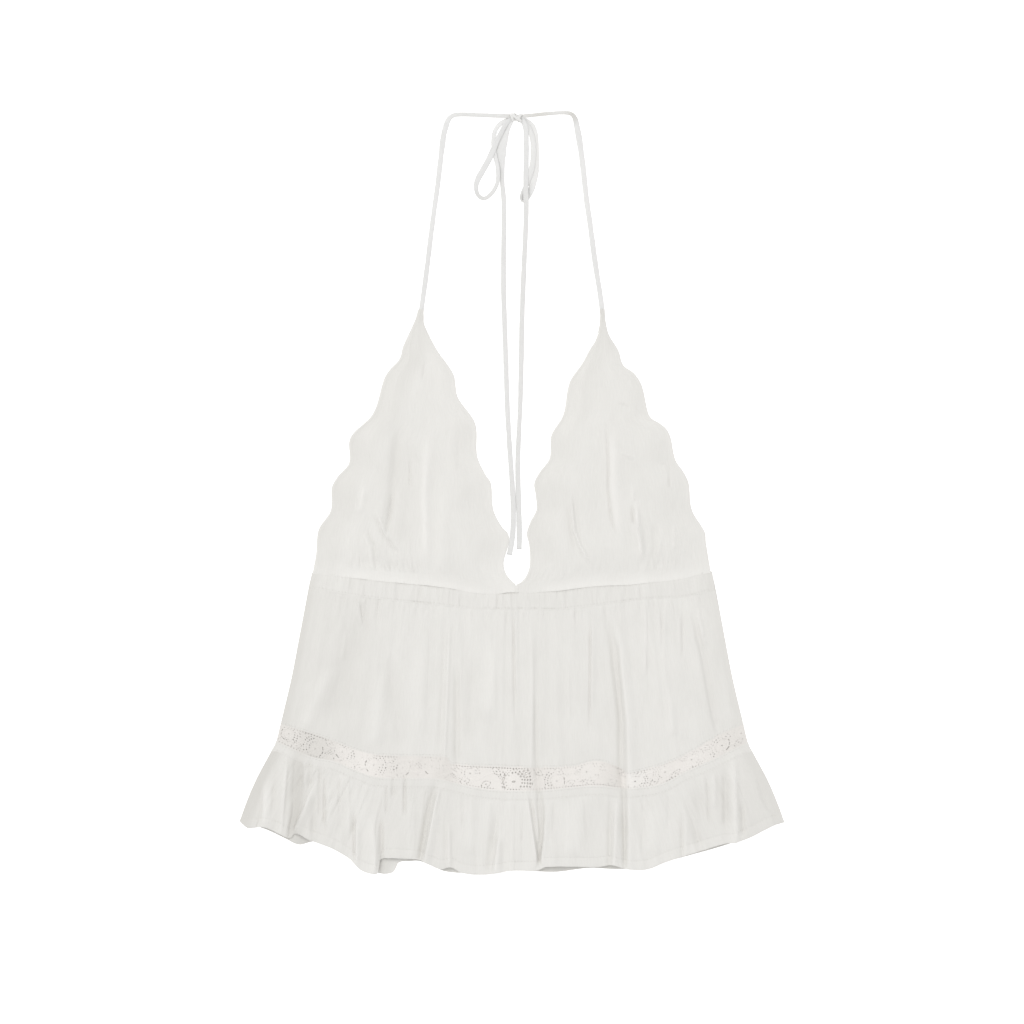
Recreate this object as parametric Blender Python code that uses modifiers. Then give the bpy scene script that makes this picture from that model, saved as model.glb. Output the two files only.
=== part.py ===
"""A white halter-neck peplum top in crinkled cotton, laid flat on a surface.

X runs across the garment, Y from its hem up to its neck ties, and Z up off the surface. The origin is
under the middle of the garment without its ties. Tables are in millimetres; the meshes are in metres.
"""

import math

import bmesh
import bpy
from mathutils import Vector

MM = 0.001

# Driving sizes, in millimetres
CLOTH = 1.2  # wall of the front pieces and the cups
BACK_CLOTH = 1.0  # least wall of the back pieces, whose undersides lie flat on the surface
SEAM_GAP = 0.3  # clearance between neighbouring pieces
SIDE_SOFTENING = 0.08  # share of the half width over which the layers come down to the side seam
SEAM_MIDDLE_Y = 3.2  # underbust seam at the middle of the garment
SEAM_RISE = 18.0  # how much higher the seam lies at the side seams
SEAM_HALF_WIDTH = 180.0
CASING_HEIGHT = 15.0  # elastic casing at the middle of the garment
CASING_SIDE_LOSS = 2.5  # how much narrower it looks at the side seams
HEADING_HEIGHT = 8.0  # plain strip between the lace and the ruffle
PUFF_MARGIN = 0.2  # share of the half width over which the front's puff comes down to the side seam
TIE_THICKNESS = 3.2  # neck tie, as a round cord

# Cups, as shares of a cup's height or width
CUP_DOME = 7.0  # rise of a cup off the surface, in millimetres
CUP_APEX_SLOPE = 0.55  # height over which the dome comes down to the tie
CUP_FOOT_SLOPE = 0.14  # height over which the dome starts above the seam
CUP_FOOT_START = 0.05  # height by which it starts early
CUP_FLAT_EDGE = 0.22  # width over which the scalloped edges lie down
CUP_SEAM_REST = 0.09  # height over which the cup comes off the front's seam on to the surface
CUP_SEAM_REST_CURVE = 1.5
CUP_GATHER_REACH = 0.11  # height over which the gathers of the seam fade
CUP_SEAM_FOLLOW = 4  # how soon its rows leave the curve of the seam

# Gathers across the front, the back and each cup, and the columns that draw one gather. The pieces of
# one side share their columns, so that their edges run together at the seams.
FRONT_GATHERS = 28
BACK_GATHERS = 14
CUP_GATHERS = 5
COLUMNS_A_GATHER = 4
GATHER_MEAN_SIZE = 0.7
GATHER_SIZE_SWING = 0.3  # how much gathers differ from that
GATHER_SIZE_PACE = 1.9  # radians from one gather's size to the next
GATHER_DRIFT = (  # share of the width by which gathers drift from even places, half waves across
    (0.013, 6.1), (0.006, 15.0),
)
DRIFT_MARGIN = 0.125  # share of the width over which the drift fades out at each side

# How a fold runs past its ends, as shares of its length
FOLD_OVERRUN = 0.1
FOLD_FADE_IN = 0.3
FOLD_FADE_OUT = 0.25

# Half width of the laid-out garment at the side seam, by the height of the seam's point
SIDE_SEAM = (  # y, half width
    (21.2, 180.2), (8.7, 183.0), (-39.0, 192.0), (-75.0, 199.0), (-114.0, 208.3), (-133.0, 212.8),
    (-141.0, 217.0), (-165.0, 230.0), (-183.0, 238.0), (-203.0, 245.5),
)

LACE = (  # x, top edge y, bottom edge y
    (-212.0, -113.0, -131.5), (-181.0, -122.0, -145.0), (-160.0, -129.0, -149.0),
    (-140.0, -137.0, -157.5), (-121.0, -141.5, -162.5), (-71.0, -143.0, -163.5),
    (-54.0, -150.0, -167.0), (-21.0, -151.5, -174.5), (21.0, -153.0, -175.5), (56.0, -151.5, -172.5),
    (76.0, -147.0, -171.0), (93.0, -151.5, -173.0), (109.0, -157.0, -174.5), (136.0, -150.0, -169.0),
    (156.0, -141.5, -158.5), (182.0, -126.5, -147.0), (197.0, -119.0, -139.5), (212.0, -113.0, -132.5),
)

FRONT_HEM = (  # x, y
    (-245.5, -202.5), (-238.0, -208.5), (-223.0, -207.5), (-205.0, -215.5), (-199.0, -217.0),
    (-194.0, -213.5), (-181.0, -219.5), (-163.0, -226.0), (-146.0, -236.0), (-136.0, -246.0),
    (-124.0, -249.5), (-117.0, -239.5), (-100.0, -235.5), (-83.0, -237.0), (-65.0, -245.0),
    (-55.0, -243.5), (-46.0, -248.0), (-33.0, -250.0), (-18.0, -249.5), (0.0, -246.5), (22.0, -246.5),
    (31.0, -243.0), (77.0, -243.0), (92.0, -241.5), (100.0, -244.5), (115.0, -246.0), (125.0, -244.5),
    (134.0, -240.5), (153.0, -234.0), (192.0, -222.0), (200.0, -221.5), (216.0, -216.0),
    (234.0, -207.0), (245.5, -203.5),
)

BACK_HEM = (  # x, y
    (-245.5, -202.5), (-225.0, -210.0), (-205.0, -218.5), (-192.0, -223.5), (-178.0, -221.5),
    (-160.0, -227.0), (-140.0, -239.0), (-118.0, -249.5), (-104.0, -240.5), (-83.0, -239.0),
    (-60.0, -247.5), (-33.0, -249.0), (0.0, -247.0), (40.0, -248.0), (70.0, -244.5), (92.0, -245.5),
    (115.0, -245.0), (134.0, -240.0), (153.0, -235.0), (175.0, -229.0), (192.0, -224.0),
    (216.0, -216.0), (234.0, -207.0), (245.5, -203.5),
)

# Levels down the front, numbered: 0 underbust seam, 1 casing stitch line, 2 lace top, 3 lace bottom,
# 4 heading bottom, 5 hem. Each row gives what the cloth does at that level.
LEVELS = (  # level, side seam y, puff, skirt gather height, ruffle gather height, back gather height
    (0.0, 21.2, 1.4, 0.6, 0.0, 0.25),
    (1.0, 8.7, 1.6, 1.0, 0.0, 0.35),
    (1.4, -40.4, 3.0, 0.9, 0.0, 0.30),
    (2.0, -114.0, 2.8, 0.4, 0.0, 0.15),
    (3.0, -133.0, 2.8, 0.2, 0.2, 0.15),
    (4.0, -141.0, 2.6, 0.0, 0.8, 0.40),
    (5.0, -203.0, 4.0, 0.0, 1.9, 0.90),
)

# Main folds of the front, each from its upper to its lower end. Height is a ridge, or a trough where
# negative.
FOLDS = (  # upper x, upper y, lower x, lower y, width, height
    (-135.0, -15.0, -154.0, -95.0, 18.0, -2.6),
    (-165.0, -68.0, -186.0, -120.0, 14.0, 2.4),
    (-118.0, -74.0, -125.0, -130.0, 12.0, 2.0),
    (-109.0, -62.0, -99.0, -132.0, 12.0, -2.4),
    (-56.0, -16.0, -61.0, -146.0, 7.0, 3.2),
    (-50.0, -58.0, -49.0, -146.0, 8.0, -3.0),
    (-20.0, -42.0, -20.0, -104.0, 18.0, 2.6),
    (-35.0, -68.0, -40.0, -132.0, 13.0, -2.2),
    (16.0, -46.0, 14.0, -152.0, 7.0, 2.8),
    (22.0, -62.0, 22.0, -158.0, 7.0, -3.6),
    (86.0, -22.0, 98.0, -158.0, 11.0, -4.0),
    (94.0, -40.0, 106.0, -150.0, 9.0, 3.4),
    (119.0, -4.0, 119.0, -68.0, 7.0, 1.8),
    (142.0, -86.0, 142.0, -122.0, 10.0, 1.8),
    (163.0, -16.0, 183.0, -116.0, 8.0, -2.2),
    (-219.0, -160.0, -220.0, -206.0, 13.0, 2.8),
    (-193.0, -146.0, -199.0, -219.0, 10.0, -6.0),
    (-176.0, -172.0, -194.0, -216.0, 8.0, 3.4),
    (-165.0, -166.0, -164.0, -208.0, 9.0, 1.6),
    (-127.0, -196.0, -127.0, -252.0, 9.0, 3.2),
    (-117.0, -198.0, -117.0, -242.0, 7.0, -4.4),
    (-99.0, -160.0, -99.0, -206.0, 6.0, -2.4),
    (-70.0, -166.0, -84.0, -240.0, 8.0, -4.6),
    (-63.0, -176.0, -76.0, -242.0, 8.0, 3.4),
    (-13.0, -198.0, -22.0, -252.0, 11.0, -4.0),
    (-8.0, -212.0, -14.0, -250.0, 8.0, 3.0),
    (13.0, -178.0, 18.0, -236.0, 8.0, 3.0),
    (25.0, -174.0, 26.0, -252.0, 8.0, -6.0),
    (54.0, -184.0, 54.0, -230.0, 20.0, 2.6),
    (71.0, -192.0, 71.0, -242.0, 16.0, -2.0),
    (87.5, -188.0, 86.0, -246.0, 6.0, -4.0),
    (93.5, -182.0, 92.0, -248.0, 8.0, 4.0),
    (100.0, -164.0, 100.0, -248.0, 7.0, -5.0),
    (112.0, -180.0, 112.0, -216.0, 16.0, 2.0),
    (153.0, -200.0, 153.0, -240.0, 6.0, -2.6),
    (168.0, -174.0, 168.0, -226.0, 16.0, -2.2),
    (192.0, -156.0, 192.0, -200.0, 8.0, -2.6),
    (199.0, -146.0, 201.0, -226.0, 9.0, 3.4),
    (218.0, -144.0, 229.0, -192.0, 7.0, -2.2),
)

# Cup edges from the underbust seam up to the tie. A row is a scallop's upper valley; its bulge is
# measured outwards from the straight line between two valleys.
LEFT_ARMHOLE = (  # x, y, bulge, rows
    (-177.8, 21.0, 0.0, 0), (-162.5, 78.8, 5.8, 5), (-145.4, 122.0, 6.4, 4), (-124.2, 166.0, 8.0, 5),
    (-98.1, 221.9, 3.8, 6), (-86.9, 250.6, 0.6, 4),
)
LEFT_NECKLINE = (  # x, y, bulge, rows
    (3.0, 3.4, 0.0, 0), (3.0, 11.3, 0.0, 1), (-7.2, 31.0, -3.0, 3), (-17.1, 79.7, 7.2, 4),
    (-30.2, 125.6, 4.3, 4), (-47.7, 176.0, 7.0, 5), (-68.4, 223.7, 4.5, 5), (-80.3, 250.6, -1.2, 2),
)
RIGHT_NECKLINE = (  # x, y, bulge, rows
    (3.4, 3.4, 0.0, 0), (3.4, 11.3, 0.0, 1), (15.3, 31.0, -4.0, 3), (22.0, 77.0, 5.0, 4),
    (35.1, 125.6, 7.0, 4), (48.6, 173.3, 5.2, 5), (68.4, 221.0, 4.3, 5), (79.2, 250.6, -4.0, 2),
)
RIGHT_ARMHOLE = (  # x, y, bulge, rows
    (177.6, 21.0, 0.0, 0), (161.6, 80.6, 4.8, 5), (148.1, 122.0, 4.1, 4), (124.2, 163.4, 7.2, 5),
    (101.3, 209.3, 4.8, 6), (85.4, 250.6, -2.2, 4),
)

# Soft folds of the cups, in the same form as the front's
CUP_FOLDS = (  # upper x, upper y, lower x, lower y, width, height
    (-108.0, 130.0, -113.0, 30.0, 12.0, -2.4),
    (-122.0, 80.0, -121.0, 16.0, 9.0, -1.8),
    (-92.0, 122.0, -93.0, 60.0, 10.0, -1.6),
    (-78.0, 110.0, -82.0, 24.0, 14.0, 2.6),
    (-133.0, 70.0, -135.0, 30.0, 12.0, 1.6),
    (-60.0, 90.0, -66.0, 14.0, 12.0, 1.4),
    (83.0, 160.0, 92.0, 50.0, 13.0, 2.4),
    (95.0, 150.0, 100.0, 50.0, 10.0, -2.2),
    (110.0, 90.0, 116.0, 30.0, 10.0, 2.2),
    (54.0, 90.0, 59.0, 34.0, 12.0, -1.8),
    (128.0, 64.0, 129.0, 22.0, 9.0, -1.8),
    (146.0, 70.0, 148.0, 30.0, 10.0, 1.4),
)

# Neck ties: x, y and z of the cord's middle
FLOOR_Z = TIE_THICKNESS / 2
OVER_Z = FLOOR_Z + TIE_THICKNESS + SEAM_GAP
KNOT_CENTRE = (4.0, 431.0)
KNOT_SIZE = (13.0, 10.0, 7.6)
KNOT_ROUNDING = 1.8

STRAP_LEFT = (
    (-82.4, 251.0, FLOOR_Z), (-81.2, 261.5, FLOOR_Z), (-78.2, 283.0, FLOOR_Z), (-75.3, 306.5, FLOOR_Z),
    (-72.9, 326.3, FLOOR_Z), (-70.1, 348.0, FLOOR_Z), (-67.1, 369.5, FLOOR_Z), (-64.6, 391.0, FLOOR_Z),
    (-62.0, 412.7, FLOOR_Z), (-59.8, 422.6, FLOOR_Z), (-57.0, 429.9, FLOOR_Z), (-52.4, 433.4, FLOOR_Z),
    (-45.0, 434.2, FLOOR_Z), (-29.0, 433.6, FLOOR_Z), (-12.6, 433.0, FLOOR_Z), (-2.8, 432.6, FLOOR_Z),
)
STRAP_RIGHT = (
    (81.8, 251.0, FLOOR_Z), (80.8, 261.5, FLOOR_Z), (78.8, 275.9, FLOOR_Z), (76.2, 292.0, FLOOR_Z),
    (73.6, 310.0, FLOOR_Z), (71.5, 326.3, FLOOR_Z), (69.6, 340.7, FLOOR_Z), (67.4, 355.0, FLOOR_Z),
    (65.4, 373.0, FLOOR_Z), (63.2, 392.9, FLOOR_Z), (60.7, 410.9, FLOOR_Z), (58.6, 422.5, FLOOR_Z),
    (56.6, 430.8, FLOOR_Z), (52.4, 435.0, FLOOR_Z), (43.2, 435.6, FLOOR_Z), (29.7, 434.6, FLOOR_Z),
    (18.0, 433.4, FLOOR_Z), (10.8, 432.6, FLOOR_Z),
)
LOOP_LEFT = (
    (-2.8, 428.6, FLOOR_Z), (-7.0, 427.6, FLOOR_Z), (-12.4, 424.0, FLOOR_Z), (-15.8, 417.6, FLOOR_Z),
    (-16.9, 409.4, FLOOR_Z), (-16.3, 402.0, FLOOR_Z), (-14.8, 394.6, FLOOR_Z), (-13.0, 386.0, FLOOR_Z),
    (-12.7, 376.0, FLOOR_Z), (-14.4, 369.4, FLOOR_Z), (-18.8, 362.6, FLOOR_Z), (-25.2, 358.4, FLOOR_Z),
    (-30.8, 361.8, FLOOR_Z), (-32.4, 369.6, FLOOR_Z), (-30.4, 376.4, 2.2), (-27.2, 382.2, 3.4),
    (-21.4, 392.4, 4.9), (-17.6, 400.8, OVER_Z), (-14.2, 408.6, OVER_Z), (-10.4, 416.4, OVER_Z),
    (-8.0, 422.4, OVER_Z), (-5.6, 427.4, OVER_Z), (-2.8, 427.6, OVER_Z),
)
LOOP_RIGHT = (
    (10.8, 428.6, FLOOR_Z), (14.6, 427.6, FLOOR_Z), (18.8, 423.0, FLOOR_Z), (21.3, 415.0, FLOOR_Z),
    (22.3, 405.0, FLOOR_Z), (22.5, 395.0, FLOOR_Z), (21.7, 383.0, FLOOR_Z), (19.8, 372.6, FLOOR_Z),
    (17.0, 364.2, FLOOR_Z), (13.6, 357.8, FLOOR_Z), (9.8, 356.4, FLOOR_Z), (8.2, 359.8, FLOOR_Z),
    (9.6, 366.0, FLOOR_Z), (11.8, 376.0, FLOOR_Z), (12.5, 390.0, FLOOR_Z), (12.6, 405.0, FLOOR_Z),
    (11.4, 416.6, FLOOR_Z), (8.4, 422.4, FLOOR_Z), (8.2, 425.5, FLOOR_Z),
)
TAIL_LEFT = (
    (-0.6, 425.5, FLOOR_Z), (-0.7, 422.9, FLOOR_Z), (-3.4, 418.6, FLOOR_Z), (-6.0, 411.0, FLOOR_Z),
    (-7.4, 402.0, FLOOR_Z), (-8.7, 392.0, FLOOR_Z), (-9.2, 383.8, FLOOR_Z), (-8.7, 371.2, FLOOR_Z),
    (-7.6, 358.6, FLOOR_Z), (-7.2, 337.0, FLOOR_Z), (-7.6, 311.8, FLOOR_Z), (-7.6, 275.8, FLOOR_Z),
    (-6.7, 244.4, FLOOR_Z), (-5.6, 212.8, FLOOR_Z), (-4.5, 176.8, FLOOR_Z), (-3.2, 149.8, FLOOR_Z),
    (-1.4, 122.8, FLOOR_Z), (0.4, 95.8, FLOOR_Z), (1.2, 73.4, FLOOR_Z), (0.2, 52.6, FLOOR_Z),
    (-2.4, 37.4, FLOOR_Z),
)
TAIL_RIGHT = (
    (8.2, 425.5, OVER_Z), (8.4, 422.6, OVER_Z), (11.6, 416.6, OVER_Z), (12.8, 408.0, OVER_Z),
    (12.9, 397.0, OVER_Z), (12.5, 384.0, OVER_Z), (12.4, 367.0, OVER_Z), (12.8, 352.0, OVER_Z),
    (12.5, 337.0, 2.6), (11.4, 311.8, FLOOR_Z), (9.9, 275.8, FLOOR_Z), (8.8, 244.4, FLOOR_Z),
    (8.3, 212.8, FLOOR_Z), (7.5, 176.8, FLOOR_Z), (6.3, 149.8, FLOOR_Z), (5.2, 122.8, FLOOR_Z),
    (5.6, 95.8, FLOOR_Z), (6.3, 73.4, FLOOR_Z), (6.6, 55.4, FLOOR_Z), (6.3, 42.4, FLOOR_Z),
)
STRAP_STEP = 14.0  # spacing of a tie's points along its straight runs
LOOP_STEP = 9.0  # and round its loops
TIE_LEAD = 2.4  # straight stretch at each end, square to what the end meets
FINE_PARTS = 20  # short steps between two points of a route, along which its length is measured

GAUZE_COLOUR = (0.80, 0.785, 0.76)
LACE_COLOUR = (0.83, 0.80, 0.75)
TIE_COLOUR = (0.82, 0.81, 0.79)


def clamp(value):
    return min(1.0, max(0.0, value))


def smoothstep(value):
    value = clamp(value)
    return value * value * (3.0 - 2.0 * value)


def read(table, place, column=1):
    """The table's value at a place in its first column, along a smooth curve through the rows."""
    rising = table[-1][0] > table[0][0]
    rows = table if rising else tuple(reversed(table))
    last = len(rows) - 2
    at = max(i for i in range(last + 1) if i == 0 or rows[i][0] <= place)
    before, low = rows[max(at - 1, 0)], rows[at]
    high, after = rows[at + 1], rows[min(at + 2, last + 1)]
    span = high[0] - low[0]
    t = clamp((place - low[0]) / span)
    low_slope = (high[column] - before[column]) / (high[0] - before[0]) * span
    high_slope = (after[column] - low[column]) / (after[0] - low[0]) * span
    return (
        low[column] * (1 + 2 * t) * (1 - t) ** 2
        + low_slope * t * (1 - t) ** 2
        + high[column] * t * t * (3 - 2 * t)
        - high_slope * t * t * (1 - t)
    )


def uneven(share):
    """Spreads even steps from 0 to 1 unevenly, so that no two gathers are the same width."""
    drift = sum(size * math.sin(half_waves * math.pi * share) for size, half_waves in GATHER_DRIFT)
    return share + drift * min(1.0, share / DRIFT_MARGIN, (1 - share) / DRIFT_MARGIN)


def columns(gathers):
    """Places across a panel, from -1 at the left side seam to 1 at the right, and the wave at each."""
    count = gathers * COLUMNS_A_GATHER
    placed = []
    for step in range(count + 1):
        gather = step / COLUMNS_A_GATHER
        size = GATHER_MEAN_SIZE + GATHER_SIZE_SWING * math.sin(GATHER_SIZE_PACE * gather)
        wave = size * math.sin(2 * math.pi * gather)
        placed.append((2 * uneven(step / count) - 1, wave))
    return placed


def side_softness(across):
    return smoothstep((1 - abs(across)) / SIDE_SOFTENING)


def level_y(level, x, hem):
    if level == 0:
        return SEAM_MIDDLE_Y + SEAM_RISE * (x / SEAM_HALF_WIDTH) ** 2
    if level == 1:
        return level_y(0, x, hem) - CASING_HEIGHT + CASING_SIDE_LOSS * (x / SEAM_HALF_WIDTH) ** 2
    if level == 2:
        return read(LACE, x, 1)
    if level == 3:
        return read(LACE, x, 2)
    if level == 4:
        return read(LACE, x, 2) - HEADING_HEIGHT
    return read(hem, x)


def place(across, level, hem):
    """The point of the laid-out garment at a share of its width and a level between seam and hem."""
    upper = min(int(level), 4)
    share = level - upper
    ends = [read(LEVELS, upper), read(LEVELS, upper + 1)]
    side_y = ends[0] + (ends[1] - ends[0]) * share
    x = across * read(SIDE_SEAM, side_y)
    upper_y = level_y(upper, across * read(SIDE_SEAM, ends[0]), hem)
    lower_y = level_y(upper + 1, across * read(SIDE_SEAM, ends[1]), hem)
    return x, upper_y + (lower_y - upper_y) * share


def fold_height(folds, x, y):
    total = 0.0
    for upper_x, upper_y, lower_x, lower_y, width, height in folds:
        along = (upper_y - y) / (upper_y - lower_y)
        if not -FOLD_OVERRUN < along < 1 + FOLD_OVERRUN:
            continue
        off = (x - upper_x - (lower_x - upper_x) * along) / (width / 2)
        fade_in = smoothstep((along + FOLD_OVERRUN) / FOLD_FADE_IN)
        fade = fade_in * smoothstep((1 + FOLD_OVERRUN - along) / FOLD_FADE_OUT)
        total += height * fade * math.exp(-off * off)
    return total


def back_top(across, level, wave):
    height = read(LEVELS, level, 5)
    return BACK_CLOTH + height * (1 + wave) * side_softness(across)


def front_under(across, level, x, y, skirt_wave, ruffle_wave):
    """Height of the front's underside: it clears the back, and its folds sink no lower than that."""
    clear = BACK_CLOTH + 2 * read(LEVELS, level, 5) * side_softness(across) + SEAM_GAP
    soft = side_softness(across)
    rise = read(LEVELS, level, 2) * smoothstep((1 - abs(across)) / PUFF_MARGIN)
    rise += soft * (read(LEVELS, level, 3) * skirt_wave + read(LEVELS, level, 4) * ruffle_wave)
    rise += soft * fold_height(FOLDS, x, y)
    return clear + max(0.0, rise)


def material(name, colour):
    made = bpy.data.materials.new(name)
    made.use_nodes = True
    shader = made.node_tree.nodes["Principled BSDF"]
    shader.inputs["Base Color"].default_value = (*colour, 1.0)
    shader.inputs["Roughness"].default_value = 0.9
    shader.inputs["Metallic"].default_value = 0.0
    made.diffuse_color = (*colour, 1.0)
    return made


def finish(obj, colour):
    obj.data.materials.append(material(obj.name + " cloth", colour))
    for collection in list(obj.users_collection):
        collection.objects.unlink(obj)
    parts.objects.link(obj)


def closed_wall(name, upper, under, colour, flat_underside=False):
    """A wall between two grids of points in millimetres. A flat underside has one face a column."""
    mesh = bmesh.new()
    rows, count = len(upper), len(upper[0])
    top = [[mesh.verts.new(Vector(p) * MM) for p in row] for row in upper]
    bottom = []
    for i, row in enumerate(under):
        rim_row = i in (0, rows - 1)
        kept = [j for j in range(count) if rim_row or j in (0, count - 1) or not flat_underside]
        bottom.append({j: mesh.verts.new(Vector(row[j]) * MM) for j in kept})
    for i in range(rows - 1):
        for j in range(count - 1):
            mesh.faces.new((top[i][j], top[i + 1][j], top[i + 1][j + 1], top[i][j + 1]))
            if not flat_underside:
                below = (bottom[i][j], bottom[i][j + 1], bottom[i + 1][j + 1], bottom[i + 1][j])
                mesh.faces.new(below)
        mesh.faces.new((top[i][0], bottom[i][0], bottom[i + 1][0], top[i + 1][0]))
        last = count - 1
        mesh.faces.new((top[i][last], top[i + 1][last], bottom[i + 1][last], bottom[i][last]))
    for j in range(count - 1):
        mesh.faces.new((top[0][j], top[0][j + 1], bottom[0][j + 1], bottom[0][j]))
        mesh.faces.new((top[-1][j], bottom[-1][j], bottom[-1][j + 1], top[-1][j + 1]))
        if flat_underside:
            inner_left = [bottom[i][0] for i in range(rows - 2, 0, -1)] if j == 0 else []
            inner_right = [bottom[i][count - 1] for i in range(1, rows - 1)] if j == count - 2 else []
            upper_edge = [bottom[0][j], bottom[0][j + 1]]
            lower_edge = [bottom[-1][j + 1], bottom[-1][j]]
            mesh.faces.new([*upper_edge, *inner_right, *lower_edge, *inner_left])
    bmesh.ops.recalc_face_normals(mesh, faces=mesh.faces)
    data = bpy.data.meshes.new(name)
    mesh.to_mesh(data)
    mesh.free()
    data.shade_smooth()
    data.set_sharp_from_angle(angle=math.radians(50))
    obj = bpy.data.objects.new(name, data)
    bpy.context.scene.collection.objects.link(obj)
    finish(obj, colour)
    return obj


def with_seam_gap(point, first, last):
    x, y = point
    return x, y - SEAM_GAP / 2 * first + SEAM_GAP / 2 * last


def front_panel(name, first_level, last_level, rows, colour):
    """One piece of the front, between two levels."""
    upper, under = [], []
    for i in range(rows + 1):
        level = first_level + (last_level - first_level) * i / rows
        top_row, under_row = [], []
        for across, wave in columns(FRONT_GATHERS):
            x, y = place(across, level, FRONT_HEM)
            skirt_wave, ruffle_wave = (wave, 0.0) if last_level <= 2 else (0.0, wave)
            z = front_under(across, level, x, y, skirt_wave, ruffle_wave)
            x, y = with_seam_gap((x, y), i == 0, i == rows and last_level < 5)
            under_row.append((x, y, z))
            top_row.append((x, y, z + CLOTH))
        upper.append(top_row)
        under.append(under_row)
    return closed_wall(name, upper, under, colour)


def back_panel(name, first_level, last_level, rows, colour):
    """One piece of the back, flat where it lies on the surface."""
    upper, under = [], []
    for i in range(rows + 1):
        level = first_level + (last_level - first_level) * i / rows
        top_row, under_row = [], []
        for across, wave in columns(BACK_GATHERS):
            point = place(across, level, BACK_HEM)
            x, y = with_seam_gap(point, i == 0, i == rows and last_level < 5)
            top_row.append((x, y, back_top(across, level, wave)))
            under_row.append((x, y, 0.0))
        upper.append(top_row)
        under.append(under_row)
    return closed_wall(name, upper, under, colour, flat_underside=True)


def scalloped(edge, outward):
    """Points up a cup's edge. Each scallop swells from the line between its valleys, left or right."""
    points = [(edge[0][0], edge[0][1])]
    for (x0, y0, _, _), (x1, y1, bulge, rows) in zip(edge, edge[1:]):
        length = math.hypot(x1 - x0, y1 - y0)
        normal = (outward * (y1 - y0) / length, -outward * (x1 - x0) / length)
        for step in range(1, rows + 1):
            t = step / rows
            swell = 4 * bulge * t * (1 - t)
            x = x0 + (x1 - x0) * t + normal[0] * swell
            y = y0 + (y1 - y0) * t + normal[1] * swell
            points.append((x, y))
    return points


def cup(name, left_edge, right_edge):
    left, right = scalloped(left_edge, -1), scalloped(right_edge, 1)
    count = CUP_GATHERS * COLUMNS_A_GATHER
    upper, under = [], []
    for row, ((lx, ly), (rx, ry)) in enumerate(zip(left, right)):
        up = row / (len(left) - 1)
        top_row, under_row = [], []
        for step in range(count + 1):
            s = step / count
            x = lx + (rx - lx) * s
            y = ly + (ry - ly) * s
            seam_x = left[0][0] + (right[0][0] - left[0][0]) * s
            seam_line = left[0][1] + (right[0][1] - left[0][1]) * s
            seam_y = level_y(0, seam_x, FRONT_HEM) + SEAM_GAP / 2
            y += (seam_y - seam_line) * (1 - up) ** CUP_SEAM_FOLLOW
            across = seam_x / SEAM_HALF_WIDTH
            seam_z = front_under(min(1.0, abs(across)), 0.0, seam_x, SEAM_MIDDLE_Y, 0.0, 0.0)
            edge = smoothstep(min(s, 1 - s) / CUP_FLAT_EDGE)
            gather = math.sin(2 * math.pi * step / COLUMNS_A_GATHER) * math.exp(-up / CUP_GATHER_REACH)
            foot = smoothstep((up + CUP_FOOT_START) / CUP_FOOT_SLOPE)
            dome = CUP_DOME * edge * foot * smoothstep((1 - up) / CUP_APEX_SLOPE)
            z = seam_z * math.exp(-((up / CUP_SEAM_REST) ** CUP_SEAM_REST_CURVE))
            z += max(0.0, dome + edge * (gather + fold_height(CUP_FOLDS, x, y)))
            under_row.append((x, y, z))
            top_row.append((x, y, z + CLOTH))
        upper.append(top_row)
        under.append(under_row)
    return closed_wall(name, upper, under, GAUZE_COLOUR)


def smooth_route(route, step):
    """Points a step apart along a smooth curve through the route's own points."""
    ends = [route[0], *route, route[-1]]
    fine = []
    for a, b, c, d in zip(ends, ends[1:], ends[2:], ends[3:]):
        a, b, c, d = (Vector(p) for p in (a, b, c, d))
        for part in range(FINE_PARTS):
            t = part / FINE_PARTS
            squared = (2 * a - 5 * b + 4 * c - d) * t * t
            cubed = (3 * b - a - 3 * c + d) * t**3
            fine.append(0.5 * (2 * b + (c - a) * t + squared + cubed))
    fine.append(Vector(route[-1]))
    reach = [0.0]
    for a, b in zip(fine, fine[1:]):
        reach.append(reach[-1] + (b - a).length)
    middle = reach[-1] - 2 * TIE_LEAD
    count = max(4, round(middle / step))
    wanted = [0.0, *(TIE_LEAD + middle * i / count for i in range(count + 1)), reach[-1]]
    spaced, at = [], 0
    for want in wanted:
        while at < len(reach) - 2 and reach[at + 1] < want:
            at += 1
        share = clamp((want - reach[at]) / (reach[at + 1] - reach[at]))
        spaced.append(fine[at].lerp(fine[at + 1], share))
    return spaced


def tie(name, route, step):
    points = smooth_route(route, step)
    curve = bpy.data.curves.new(name, "CURVE")
    curve.dimensions = "3D"
    spline = curve.splines.new("POLY")
    spline.points.add(len(points) - 1)
    for spot, point in zip(spline.points, points):
        spot.co = (*(point * MM), 1.0)
    curve.bevel_depth = TIE_THICKNESS / 2 * MM
    curve.bevel_resolution = 2
    curve.use_fill_caps = True
    obj = bpy.data.objects.new(name, curve)
    bpy.context.scene.collection.objects.link(obj)
    finish(obj, TIE_COLOUR)
    return obj


def bow_knot():
    """The wrapped middle of the bow, on the surface, with flat sides that the ties run up to."""
    width, length, height = KNOT_SIZE
    mesh = bmesh.new()
    bmesh.ops.create_cube(mesh, size=1.0)
    bmesh.ops.scale(mesh, vec=(width * MM, length * MM, height * MM), verts=mesh.verts)
    data = bpy.data.meshes.new("bow_knot")
    mesh.to_mesh(data)
    mesh.free()
    obj = bpy.data.objects.new("bow_knot", data)
    obj.location = (KNOT_CENTRE[0] * MM, KNOT_CENTRE[1] * MM, height / 2 * MM)
    bevel = obj.modifiers.new("Rounded edges", "BEVEL")
    bevel.width = KNOT_ROUNDING * MM
    bevel.segments = 3
    bpy.context.scene.collection.objects.link(obj)
    finish(obj, TIE_COLOUR)
    return obj


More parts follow.
